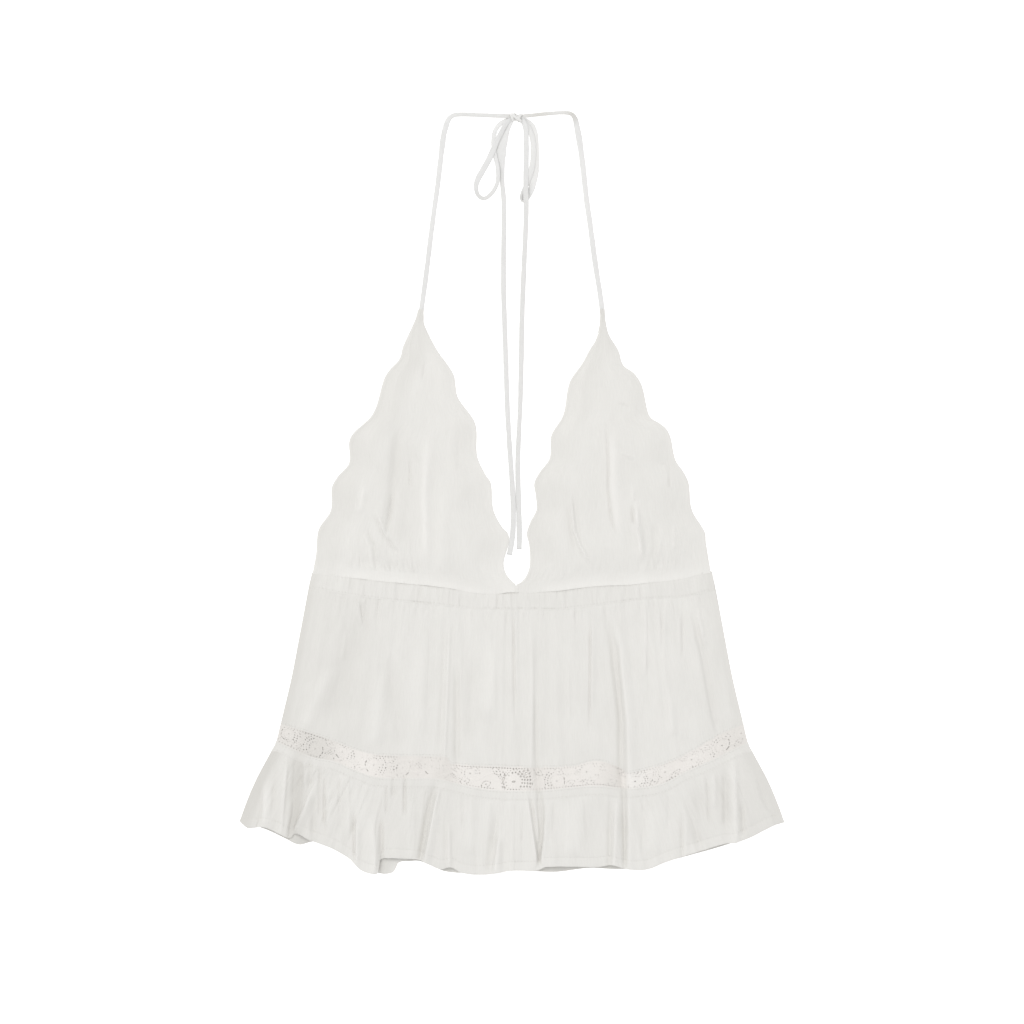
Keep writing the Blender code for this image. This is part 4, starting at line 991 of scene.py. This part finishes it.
LACE_DEPTH = 21.5
LACE_SIDE = 1.2  # solid margin at its ends
LACE_CELL, BACK_LACE_CELL = 0.5, 1.0
BACK_LACE_CLOSED = 0.45
SOLID = 0.8  # well inside the cotton
NET_MESH = 2.7
STEM_MIDDLE, STEM_SWING, STEM_PACE = 10.8, 4.6, 7.6
STEM_HALF = 0.75
LEAF_PITCH, LEAF_START = 9.5, 5.0
LEAF_UPPER, LEAF_LOWER = (5.2, 0.55), (16.4, -0.45)  # depth below the lace's top, tilt
LEAF_HALF = (4.4, 2.0)
EYELET_PITCH, EYELET_INSET = 2.6, 2.0
SELVEDGE, EYELET_BAND = 1.3, 2.7
MAIN_SIZE, SLOTTED_SIZE = 0.95, 0.75  # above these sizes a flower is the main kind, or has slots behind it
FAN_TILT = 0.35
NEAREST_CUT = 0.15  # a hole's edge keeps this share of a cell away from the grid's points
LACE_FLOWERS = (  # place across, depth below the lace's top, radius, side of its fan, size of holes
    (-203, 8.6, 4.6, 1, 0.9), (-178, 13, 4.8, -1, 0.95), (-154, 9, 4.6, 1, 0.9), (-125.5, 10.6, 5.2, 1, 0.95),
    (-99, 11.6, 4.6, -1, 0.85), (-73, 10, 4.4, 1, 0.8), (-38, 8.6, 4.4, -1, 0.65), (1.6, 13, 6.3, 1, 1),
    (40.5, 13.6, 4.8, -1, 0.8), (67.5, 8.6, 5.2, 1, 0.72), (112, 12.6, 4.8, 1, 0.72), (139, 9.6, 4.6, -1, 0.7),
    (163, 10.6, 5, 1, 0.74), (190, 11.6, 5, -1, 0.78), (208, 8.6, 4.2, 1, 0.7),
)
# rings are (distance out of the flower, angle that they reach), eye is (stretch, radius)
MAIN_FLOWER = {
    "petals": 9, "rings": ((1.2, 1.5), (3.9, 1.35), (6.6, 1.2), (9.3, 1.0)), "spacing": 2.9, "hole": 0.82,
    "behind": 3.4, "slot": (3.4, 0.85), "eye": (1.7, 0.85),
}
SMALL_FLOWER = {
    "petals": 7, "rings": ((1.0, 1.6), (3.5, 1.15), (5.9, 0.9)), "spacing": 2.35, "hole": 0.62,
    "behind": 2.6, "slot": (2.4, 0.45), "eye": (1.05, 0.62),
}


def off_pitch(place, pitch):
    """Distance from the nearest of a row of places that lie a pitch apart."""
    return np.abs(place / pitch - np.round(place / pitch)) * pitch


def lace_pattern(u, w):
    """Above zero where there is cotton, and the height of its raised threads. Both in millimetres."""
    # Ground: close knotted net, with its meshes open in uneven patches
    knot_off = np.hypot(off_pitch((u + w) / NET_MESH, 1), off_pitch((u - w) / NET_MESH, 1)) * NET_MESH / math.sqrt(2)
    patch = streaks(u, w, 9, 7, 91) * 0.7 + streaks(u, w, 2.9, 2.9, 92) * 0.3
    cotton = knot_off - (0.22 + 0.62 * np.clip(patch, -0.8, 0.8))
    raised = 0.10 * np.clip(streaks(u, w, 1.1, 1.1, 93), -1, 1)
    # A winding stem with leaves on either side, each ringed by small holes
    stem_off = np.abs(w - (STEM_MIDDLE + STEM_SWING * np.sin(u / STEM_PACE + 0.4))) * 0.82
    cotton = np.maximum(cotton, STEM_HALF - stem_off)
    raised = np.maximum(raised, 0.30 * np.clip(1 - (stem_off / STEM_HALF) ** 2, 0, 1))
    which = np.round((u - LEAF_START) / LEAF_PITCH)
    leaf_u = (u - LEAF_START) - which * LEAF_PITCH
    leaf_depth, tilt = (np.where(which % 2 == 0, *pair) for pair in zip(LEAF_UPPER, LEAF_LOWER))
    leaf_w = w - leaf_depth
    leaf_along, leaf_off = leaf_u + leaf_w * tilt, leaf_w - leaf_u * tilt
    leaf = LEAF_HALF[1] * (1 - (leaf_along / LEAF_HALF[0]) ** 2) - np.abs(leaf_off)
    leaf_hole = np.hypot(np.maximum(np.abs(leaf_along) - 0.9, 0), leaf_off) - 0.36
    cotton = np.where(leaf > 0, np.minimum(np.maximum(cotton, leaf + 0.3), leaf_hole), cotton)
    holes_by_leaf = np.maximum(np.abs(leaf + 0.75) - 0.42, 0.33 - off_pitch(leaf_along, 1.9))
    cotton = np.where((leaf < 0) & (leaf > -1.3), np.minimum(cotton + 0.3, holes_by_leaf), cotton)
    raised = np.maximum(raised, 0.28 * np.clip(leaf / 1.4, 0, 1))
    # Flowers, each with a fan of rings of holes on one side and a row of slots behind it
    missing = 0.9 * streaks(u, w, 3.1, 3.1, 95) + 0.5 * streaks(u, w, 1.4, 1.4, 96)
    bent_u, bent_w = u + 0.55 * streaks(u, w, 4.4, 4.4, 97), w + 0.55 * streaks(u, w, 4.4, 4.4, 98)
    for centre, depth, radius, side, open_size in LACE_FLOWERS:
        main = open_size > MAIN_SIZE
        kind = MAIN_FLOWER if main else SMALL_FLOWER
        size = kind["hole"] * (1 if main else open_size)
        du, dw = bent_u - centre, bent_w - depth
        r, turn = np.hypot(du, dw), np.arctan2(dw, du)
        towards = np.abs(np.angle(np.exp(1j * (turn - (-FAN_TILT if side > 0 else np.pi + FAN_TILT)))))
        inside = r < radius + 0.2
        cotton = np.where(inside, SOLID, cotton)
        raised = np.where((r >= radius + 0.2) & (r < radius + 1.9), 0.18, raised)
        for out, reach in kind["rings"]:
            ring = radius + out
            pitch = 2 * np.pi / round(2 * np.pi * ring / kind["spacing"])
            bar_off = off_pitch(turn, pitch) * r
            hole = np.hypot(r - ring, np.maximum(0, kind["spacing"] / 2 - bar_off)) - size + 0.26 * missing
            here = (np.abs(r - ring) < 1.25) & (towards < reach + 0.35 * missing)
            cotton = np.where(here, hole, cotton)
            raised = np.where(here, 0.14 + 0.16 * (np.abs(r - ring) > 0.85), raised)
        if open_size > SLOTTED_SIZE:
            behind = (towards > 2.2) & (np.abs(r - radius - kind["behind"]) < 1.5)
            slot_off, slot_half = kind["slot"]
            slot = np.maximum(np.abs(r - radius - slot_off) - slot_half, 0.45 - off_pitch(dw, 3.6))
            cotton = np.where(behind, slot + 0.2 * missing, cotton)
        stretch, eye = kind["eye"]
        cotton = np.minimum(cotton, np.hypot(du / stretch, dw) - eye)
        dome = 0.40 * np.clip(1 - (r / radius) ** 2, 0, 1) ** 0.5
        raised = np.where(inside, dome * (0.7 + 0.3 * np.cos(kind["petals"] * turn)), raised)
        raised = np.maximum(raised, 0.30 * np.clip(1 - ((r - 1.9) / 0.6) ** 2, 0, 1) * (r < 2.6))
    # Edges: a row of eyelets inside a plain selvedge
    edge = np.minimum(w, LACE_DEPTH - w)
    bars = 0.75 - off_pitch(u, EYELET_PITCH) - 0.4 * streaks(u, w, 11, 9, 94)
    eyelets = np.maximum(np.abs(edge - EYELET_INSET) - 0.42, bars)
    cotton = np.where(edge < EYELET_BAND, np.minimum(SOLID, np.maximum(eyelets, edge - 2.9)), cotton)
    cotton = np.where(edge < SELVEDGE, SOLID, cotton)
    raised = np.where(edge < EYELET_BAND, 0.05, raised)
    return cotton, raised


def openwork(cotton, places, heights):
    """Cuts a grid to where cotton is above zero. Gives its points, their heights and its faces."""
    inside = cotton > 0
    points, raised, faces, index = [], [], [], {}

    def corner(i, j):
        key = (i, j)
        if key not in index:
            index[key] = len(points)
            points.append(places[i, j])
            raised.append(heights[i, j])
        return index[key]

    def crossing(i, j, k, m):
        key = (i, j, k, m) if (i, j) < (k, m) else (k, m, i, j)
        if key not in index:
            a, b = cotton[key[0], key[1]], cotton[key[2], key[3]]
            t = min(1 - NEAREST_CUT, max(NEAREST_CUT, a / (a - b)))
            index[key] = len(points)
            points.append(places[key[0], key[1]] * (1 - t) + places[key[2], key[3]] * t)
            raised.append(heights[key[0], key[1]] * (1 - t) + heights[key[2], key[3]] * t)
        return index[key]

    count = inside[:-1, :-1].astype(int) + inside[1:, :-1] + inside[1:, 1:] + inside[:-1, 1:]
    for i, j in np.argwhere(count > 0):
        ring = [(i, j), (i + 1, j), (i + 1, j + 1), (i, j + 1)]
        if count[i, j] == 4:
            faces.append([corner(*p) for p in ring])
            continue
        state = [bool(inside[p]) for p in ring]
        if count[i, j] == 2 and state[0] == state[2]:  # two opposite corners, each cut off alone
            for k in range(4):
                if state[k]:
                    here, after, before = ring[k], ring[(k + 1) % 4], ring[k - 1]
                    faces.append([corner(*here), crossing(*here, *after), crossing(*before, *here)])
            continue
        face = []
        for k in range(4):
            here, after = ring[k], ring[(k + 1) % 4]
            if state[k]:
                face.append(corner(*here))
            if state[k] != state[(k + 1) % 4]:
                face.append(crossing(*here, *after))
        if len(face) > 2:
            faces.append(face)
    return np.array(points), np.array(raised), faces


def lace(name, face, cell, closed):
    """A band of openwork on a grid of cells, with its holes closed by so many millimetres."""
    u = np.linspace(-LACE_HALF_WIDTH, LACE_HALF_WIDTH, int(2 * LACE_HALF_WIDTH / cell) + 1)[None, :]
    w = np.linspace(0, LACE_DEPTH, int(LACE_DEPTH / cell) + 1)[:, None]
    u, w = np.broadcast_arrays(u, w)
    cotton, raised = lace_pattern(u, w)
    side = LACE_HALF_WIDTH - np.abs(u)
    cotton = np.maximum(cotton + closed + read(LACE_PAINTED_SHADE_AND_NET, u, NET_CLOSENESS), LACE_SIDE - side)
    places, heights, faces = openwork(cotton, np.stack([u, w], axis=-1), raised)
    x, y, z, doubling_and_painted_light = face(places[:, 0] / LACE_HALF_WIDTH, places[:, 1] / LACE_DEPTH)
    points = np.stack([x, y, z + heights], axis=-1)
    obj = mesh_of(name, points, faces, places, LACE_COTTON)
    # Raised threads are painted whiter by their height, a painted highlight
    toned(obj, doubling_and_painted_light + 0.5 * heights)
    thickened(obj, LACE_THREAD)
    return shown(obj, name, slot="lace")


# ---------------------------------------------------------------- sewing

BEAD = ((0, 0.35), (0.22, 1), (0.78, 1), (1, 0.35))  # share of its length, share of its radius
BEAD_SIDES = 5
STITCH_PITCH, STITCH_LENGTH, STITCH_STEP = 3.1, 2.2, 0.25
STITCH_RADIUS, STITCH_ARCH, STITCH_SINK = 0.19, 0.12, 0.02
SEAM_REACH = 0.985  # share of the half width that a line of stitches runs to
SEAM_POINTS = 1400


def reached(points):
    """How far along a line each of its points lies."""
    return np.concatenate([[0.0], np.cumsum(np.linalg.norm(np.diff(points, axis=0), axis=1))])


def points_at(points, reach, wanted):
    return np.stack([np.interp(wanted, reach, points[:, k]) for k in range(3)], axis=1)


def tube_faces(rings, sides, base=0, capped=True):
    """Faces of a tube whose rings of points follow one another from base on."""
    last = base + (rings - 1) * sides
    faces = []
    for start in range(base, last, sides):
        for k in range(sides):
            p, q = start + k, start + (k + 1) % sides
            faces.append([p, q, q + sides, p + sides])
    caps = [[base + k for k in reversed(range(sides))], [last + k for k in range(sides)]]
    return faces + caps if capped else faces


def thread_beads(starts, ends):
    """Points and faces of short stitches, each a bead that arches between two points."""
    points, faces = [], []
    for a, b in zip(starts, ends):
        along = (b - a) / max(np.linalg.norm(b - a), 1e-9)
        flat = np.cross([0.0, 0.0, 1.0], along)
        flat = flat / max(np.linalg.norm(flat), 1e-9)
        up = np.cross(along, flat)
        faces.extend(tube_faces(len(BEAD), BEAD_SIDES, len(points)))
        for share, size in BEAD:
            middle = a + (b - a) * share + up * STITCH_ARCH * (4 * share * (1 - share))
            for k in range(BEAD_SIDES):
                turn = 2 * math.pi * k / BEAD_SIDES
                points.append(middle + STITCH_RADIUS * size * (math.cos(turn) * flat + math.sin(turn) * up))
    return np.array(points), faces


def stitching(name, lines):
    """Lock stitches along lines of points on the cloth."""
    starts, ends = [], []
    pitch, length = int(STITCH_PITCH / STITCH_STEP), int(STITCH_LENGTH / STITCH_STEP)
    for line in lines:
        reach = reached(line)
        fine = points_at(line, reach, np.arange(0.0, reach[-1], STITCH_STEP))
        for at in range(0, len(fine) - length, pitch):
            starts.append(fine[at])
            ends.append(fine[at + length])
    points, faces = thread_beads(starts, ends)
    shown(mesh_of(name, points, faces, points[:, :2], SEWING_THREAD), slot="gauze")


def line_on(face, v):
    """Points of a seam across a face, sunk a little so that the cloth hides the thread's underside."""
    across = np.linspace(-SEAM_REACH, SEAM_REACH, SEAM_POINTS)
    x, y, z, _ = face(across, np.full(across.shape, float(v)))
    return np.stack([x, y, z - STITCH_SINK], axis=1)


# ---------------------------------------------------------------- neck ties


def smooth_route(route):
    """Points a step apart along a smooth curve through the route's own points."""
    points = np.array([(*point, CORD_Z)[:3] for point in route], float)
    ends = np.vstack([points[:1], points, points[-1:]])
    fine = []
    for a, b, c, d in zip(ends, ends[1:], ends[2:], ends[3:]):
        for t in np.linspace(0, 1, SPLINE_STEPS, endpoint=False):
            squared, cubed = (2 * a - 5 * b + 4 * c - d) * t * t, (3 * b - a - 3 * c + d) * t**3
            fine.append(0.5 * (2 * b + (c - a) * t + squared + cubed))
    fine.append(points[-1])
    fine = np.array(fine)
    reach = reached(fine)
    return points_at(fine, reach, np.linspace(0, reach[-1], round(reach[-1] / TIE_STEP) + 1))


def rounded_box(turn, width, thickness, rounding):
    """The point at an angle on the outline of a flat band's section. A lower rounding makes it squarer."""
    c, s = math.cos(turn), math.sin(turn)
    return math.copysign(abs(c) ** rounding, c) * width / 2, math.copysign(abs(s) ** 0.8, s) * thickness / 2


def band_section(width):
    """A tie's section: two flat faces, one folded edge, and a sewn edge with a small step."""
    turns = [2 * math.pi * (k + 0.5) / TIE_SIDES for k in range(TIE_SIDES)]
    points = [rounded_box(turn, width, TIE_THICKNESS, 0.55) for turn in turns]
    return [(across, up * (0.82 if across > 0.3 * width else 1.0)) for across, up in points]


def sweep(path, twist, widths):
    """Points of a flat band along a path of points. Twist is in radians."""
    along = np.gradient(path, axis=0)
    along /= np.linalg.norm(along, axis=1, keepdims=True)
    up = np.array([0.0, 0.0, 1.0])
    points = []
    for centre, forward, turn, width in zip(path, along, twist, widths):
        flat = np.cross(up, forward)
        flat /= np.linalg.norm(flat)
        top = np.cross(forward, flat)
        c, s = math.cos(turn), math.sin(turn)
        for a, b in band_section(width):
            points.append(centre + flat * (a * c - b * s) + top * (a * s + b * c))
    return np.array(points)


def tie(name, route, length, far_end, turns, widths, painted_light_and_shade, pieces):
    """A flat tie on the floor. turns gives how many degrees it stands on edge at shares of its length."""
    path = smooth_route(route)
    share = np.linspace(0, 1, len(path))
    twist = np.radians(read(turns, share))
    ripple = streaks(share * length, share * 0, 9, 1, len(name) + len(route))
    width = read(widths, share) * (1 + TIE_RIPPLE * ripple)
    tall = np.abs(np.sin(twist)) * width / 2 + np.abs(np.cos(twist)) * TIE_THICKNESS / 2
    path[:, 2] = (path[:, 2] - CORD_Z) * TIE_CROSSING + tall + TIE_CLEARANCE
    around = np.tile(np.linspace(0, 2 * TIE_WIDTH, TIE_SIDES), len(path))
    places = np.stack([around, np.repeat(share * length, TIE_SIDES)], axis=1)
    obj = mesh_of(name, sweep(path, twist, width), tube_faces(len(path), TIE_SIDES), places, TIE_COTTON)
    # Painted shade where the tie turns on edge or lies in the knot's shadow, and painted light where it lies lit
    toned(obj, np.repeat(read(painted_light_and_shade, share), TIE_SIDES))
    shown(obj, name, slot="tie")
    tuple(path[0] * MM)
    (path * MM).tolist()


TIES = (  # name, route, real length, far end, then degrees on edge, widths and painted light and shade at shares of the length
    (
        "strap_left", STRAP_LEFT, 249, "object",
        ((0, 6), (0.2, 14), (0.42, -8), (0.66, 4), (0.72, 0), (0.765, -28), (0.9, -30), (1, -32)),
        ((0, 4.8), (0.6, 4.8), (0.67, 5.4), (0.735, 5.2), (0.78, 4.7), (1, 4.6)),
        ((0, 0.1), (0.72, 0.1), (0.8, -0.5), (0.95, -0.5), (1, -0.7)),
    ),
    (
        "strap_right", STRAP_RIGHT, 240, "object",
        ((0, -6), (0.25, 10), (0.5, -12), (0.68, 4), (0.75, 8), (0.79, 36), (0.9, 42), (1, 40)),
        ((0, 4.8), (0.3, 5.1), (0.64, 5.2), (0.7, 5.7), (0.76, 5.4), (0.8, 4.8), (1, 4.6)),
        ((0, 0.1), (0.74, 0.1), (0.79, -1.5), (0.84, -0.7), (0.88, -1.1), (0.92, -1.6), (0.97, -1), (1, -0.2)),
    ),
    (
        "bow_loop_left", LOOP_LEFT, 181, "object",
        (
            (0, 40), (0.1, 24), (0.28, 30), (0.45, 34), (0.53, 34), (0.6, 18), (0.66, 4), (0.78, 8), (0.88, 20),
            (1, 30),
        ),
        ((0, 4.6), (0.55, 4.6), (0.62, 5.4), (0.68, 5.9), (0.78, 5.7), (0.86, 4.8), (1, 4.6)),
        ((0, 0.2), (0.3, 0.1), (0.42, -0.4), (0.54, -0.5), (0.6, 0.1), (1, 0)),
    ),
    (
        "bow_loop_right", LOOP_RIGHT, 166, "object",
        ((0, 40), (0.12, 10), (0.35, 4), (0.5, 50), (0.62, 20), (0.9, 8), (1, 30)),
        ((0, 4.6), (0.2, 5), (0.34, 7.2), (0.42, 6.6), (0.5, 4.6), (0.6, 4.6), (0.75, 5.2), (1, 4.6)),
        ((0, 0), (0.1, 0.6), (0.4, 0.6), (0.47, -0.3), (0.55, -0.4), (0.62, 0.3), (0.9, 0.4), (1, 0)),
    ),
    (
        "tail_left", TAIL_LEFT, 397, "bare",
        (
            (0, 30), (0.03, 12), (0.08, 4), (0.105, 14), (0.125, 30), (0.18, 22), (0.3, 14), (0.5, 18), (0.7, 28),
            (0.88, 8), (1, 18),
        ),
        (
            (0, 4.6), (0.028, 5.3), (0.045, 7), (0.062, 9.1), (0.088, 9), (0.104, 6.2), (0.124, 4.8), (0.3, 5),
            (1, 5),
        ),
        ((0, 0), (0.04, 0.3), (0.1, 0.2), (0.14, -0.2), (1, -0.25)),
    ),
    (
        "tail_right", TAIL_RIGHT, 391, "bare",
        ((0, 20), (0.06, 4), (0.16, 8), (0.24, 20), (0.5, 14), (0.7, 30), (0.9, 14), (1, 10)),
        ((0, 4.8), (1, 5)),
        ((0, 0), (0.1, 0), (0.2, -0.3), (1, -0.3)),
    ),
)
KNOT_WRAPS = (  # middle x, middle y, yaw in degrees, half length, half height, width
    (0.2, 431.4, 16, 3.3, 2.5, 3), (3, 431.2, 48, 4.9, 3.3, 2.6), (5.4, 430.2, 44, 4, 2.9, 2.6),
    (6.6, 431.6, -30, 3, 2.4, 2.8), (1.2, 433, -40, 2.6, 3.2, 2.2),
)
KNOT_MIDDLE = (3.6, 431.0, 3.6)
KNOT_CORE = (4.6, 2.9, 2.0)  # half sizes
CORE_ROWS, CORE_COLUMNS = 10, 20
CORE_ROUNDING = 0.6
WRAP_TURNS, WRAP_SIDES = 40, 10
WRAP_LENGTH, WRAP_THICKNESS, WRAP_CREASE = 32, 0.9, 0.22
WRAP_PAINTED_LIGHT_AND_SHADE = (-1.6, 0.6, 0.6, 0.6, -1.6, -1.6, 0.6, 0.6, 0.6, -1.6)  # a wrap's edges have painted shade, its faces painted light


def knot():
    """The wrapped middle of the bow: turns of the same flat tie round a soft core."""
    points, faces, places, painted_light_and_shade = [], [], [], []

    def add(more_points, more_faces, more_places, more_painted_light_and_shade):
        base = len(points)
        points.extend(more_points)
        faces.extend([base + p for p in face] for face in more_faces)
        places.extend(more_places)
        painted_light_and_shade.extend(more_painted_light_and_shade)

    for middle_x, middle_y, yaw, half_length, half_height, width in KNOT_WRAPS:
        wrap, quads, flat = [], [], []
        c, s = math.cos(math.radians(yaw)), math.sin(math.radians(yaw))
        for i in range(WRAP_TURNS):
            turn = 2 * math.pi * i / WRAP_TURNS
            here, following = i * WRAP_SIDES, (i + 1) % WRAP_TURNS * WRAP_SIDES
            for k in range(WRAP_SIDES):
                a, b = rounded_box(2 * math.pi * (k + 0.5) / WRAP_SIDES, width, WRAP_THICKNESS, 0.6)
                crease = WRAP_CREASE * math.cos(3 * math.pi * a / width + 0.7 * math.sin(turn * 2))
                y = (half_length + b + crease) * math.cos(turn)
                z = (half_height + b + crease) * math.sin(turn)
                wrap.append((middle_x + a * c - y * s, middle_y + a * s + y * c, KNOT_MIDDLE[2] + z))
                beside = (k + 1) % WRAP_SIDES
                quads.append([here + k, following + k, following + beside, here + beside])
                flat.append((width * k / WRAP_SIDES, WRAP_LENGTH * i / WRAP_TURNS))
        add(wrap, quads, flat, WRAP_PAINTED_LIGHT_AND_SHADE * WRAP_TURNS)
    core = []
    for i in range(CORE_ROWS + 1):
        tilt = math.pi * i / CORE_ROWS
        for j in range(CORE_COLUMNS):
            turn = 2 * math.pi * j / CORE_COLUMNS
            core.append((
                KNOT_MIDDLE[0] + KNOT_CORE[0] * math.cos(tilt),
                KNOT_MIDDLE[1] + KNOT_CORE[1] * math.sin(tilt) ** CORE_ROUNDING * math.cos(turn),
                KNOT_MIDDLE[2] + KNOT_CORE[2] * math.sin(tilt) ** CORE_ROUNDING * math.sin(turn),
            ))
    quads = tube_faces(CORE_ROWS + 1, CORE_COLUMNS, capped=False)
    # The core between the wraps is painted dark, as shade
    add(core, quads, [point[:2] for point in core], [-1.0] * len(core))
    obj = mesh_of("bow_knot", points, faces, places, TIE_COTTON)
    toned(obj, painted_light_and_shade)
    return shown(obj, "bow_knot", slot="tie")


# ---------------------------------------------------------------- the top itself

bow = knot()
for name, *facts in TIES:
    tie(name, *facts, [bow] if name == "strap_left" else [])

cup_left = cup("cup_left", LEFT_ARMHOLE, LEFT_NECKLINE, -1, 70)
cup_right = cup("cup_right", RIGHT_ARMHOLE, RIGHT_NECKLINE, 1, 80)
casing_front = panel("casing_front", casing_front_face, 620, rows_of(24), CASING_GRAIN, CASING_HEIGHT)
skirt_front = panel("skirt_front", skirt_front_face, 600, rows_of(64), SKIRT_GRAIN, SKIRT_HEIGHT)
lace_front = lace("lace_front", lace_front_face, LACE_CELL, 0)
heading_front = panel("heading_front", heading_front_face, 500, rows_of(14), HEADING_GRAIN, HEADING_HEIGHT)
ruffle_rows = np.concatenate([rows_of(36), 1 + np.linspace(0, 1, 13)[1:]])
ruffle_front = panel("ruffle_front", ruffle_front_face, 720, ruffle_rows, RUFFLE_GRAIN, RUFFLE_HEIGHT)

casing_back = panel("casing_back", back_face(0), 200, rows_of(6), CASING_GRAIN, CASING_HEIGHT)
skirt_back = panel("skirt_back", back_face(1), 220, rows_of(24), SKIRT_GRAIN, SKIRT_HEIGHT)
lace_back = lace("lace_back", back_face(2), BACK_LACE_CELL, BACK_LACE_CLOSED)
heading_back = panel("heading_back", back_face(3), 200, rows_of(5), HEADING_GRAIN, HEADING_HEIGHT)
ruffle_back = panel("ruffle_back", back_face(4), 300, rows_of(26), RUFFLE_GRAIN, RUFFLE_HEIGHT)

stitching(  # each line so many millimetres in from a piece's lower or upper edge
    "casing_and_lace_stitching",
    [
        line_on(casing_front_face, 1 - 1.6 / CASING_HEIGHT),
        line_on(skirt_front_face, 1 - 1.2 / SKIRT_HEIGHT),
        line_on(heading_front_face, 1.0 / HEADING_HEIGHT),
        line_on(heading_front_face, 1 - 1.3 / HEADING_HEIGHT),
    ],
)
stitching("hem_stitching", [line_on(ruffle_front_face, 1)])


# ---------------------------------------------------------------- floor and light

floor_wiring = Wiring("pale_floor")
floor_shader = floor_wiring.node(
    "ShaderNodeBsdfPrincipled",
    {},
    {
        "Base Color": colour(0.92, 0.92, 0.92),
        "Roughness": 0.95,
        "Emission Color": colour(1.0, 1.0, 1.0),
        "Emission Strength": 0.5,
    },
)
floor_material = floor_wiring.finished(floor_shader)
floor_mesh = bpy.data.meshes.new("floor")
floor_mesh.from_pydata([(-9, -9, 0), (9, -9, 0), (9, 9, 0), (-9, 9, 0)], [], [(0, 1, 2, 3)])
floor_mesh.materials.append(floor_material)
floor = bpy.data.objects.new("floor", floor_mesh)
bpy.context.scene.collection.objects.link(floor)

world = bpy.data.worlds.new("studio")
world.use_nodes = True
world.node_tree.nodes["Background"].inputs["Color"].default_value = colour(1.0, 1.0, 1.0)
world.node_tree.nodes["Background"].inputs["Strength"].default_value = 0.80
bpy.context.scene.world = world

softbox_light = bpy.data.lights.new("softbox", "AREA")
softbox_light.shape = "SQUARE"
softbox_light.size = 2.6
softbox_light.energy = 44.0
softbox = bpy.data.objects.new("softbox", softbox_light)
softbox.location = (-0.9, 1.1, 3.4)
softbox.rotation_euler = (Vector((0.0, 0.0, 0.0)) - softbox.location).to_track_quat("-Z", "Y").to_euler()
bpy.context.scene.collection.objects.link(softbox)

bpy.context.scene.view_settings.view_transform = "Standard"
bpy.context.scene.view_settings.look = "None"
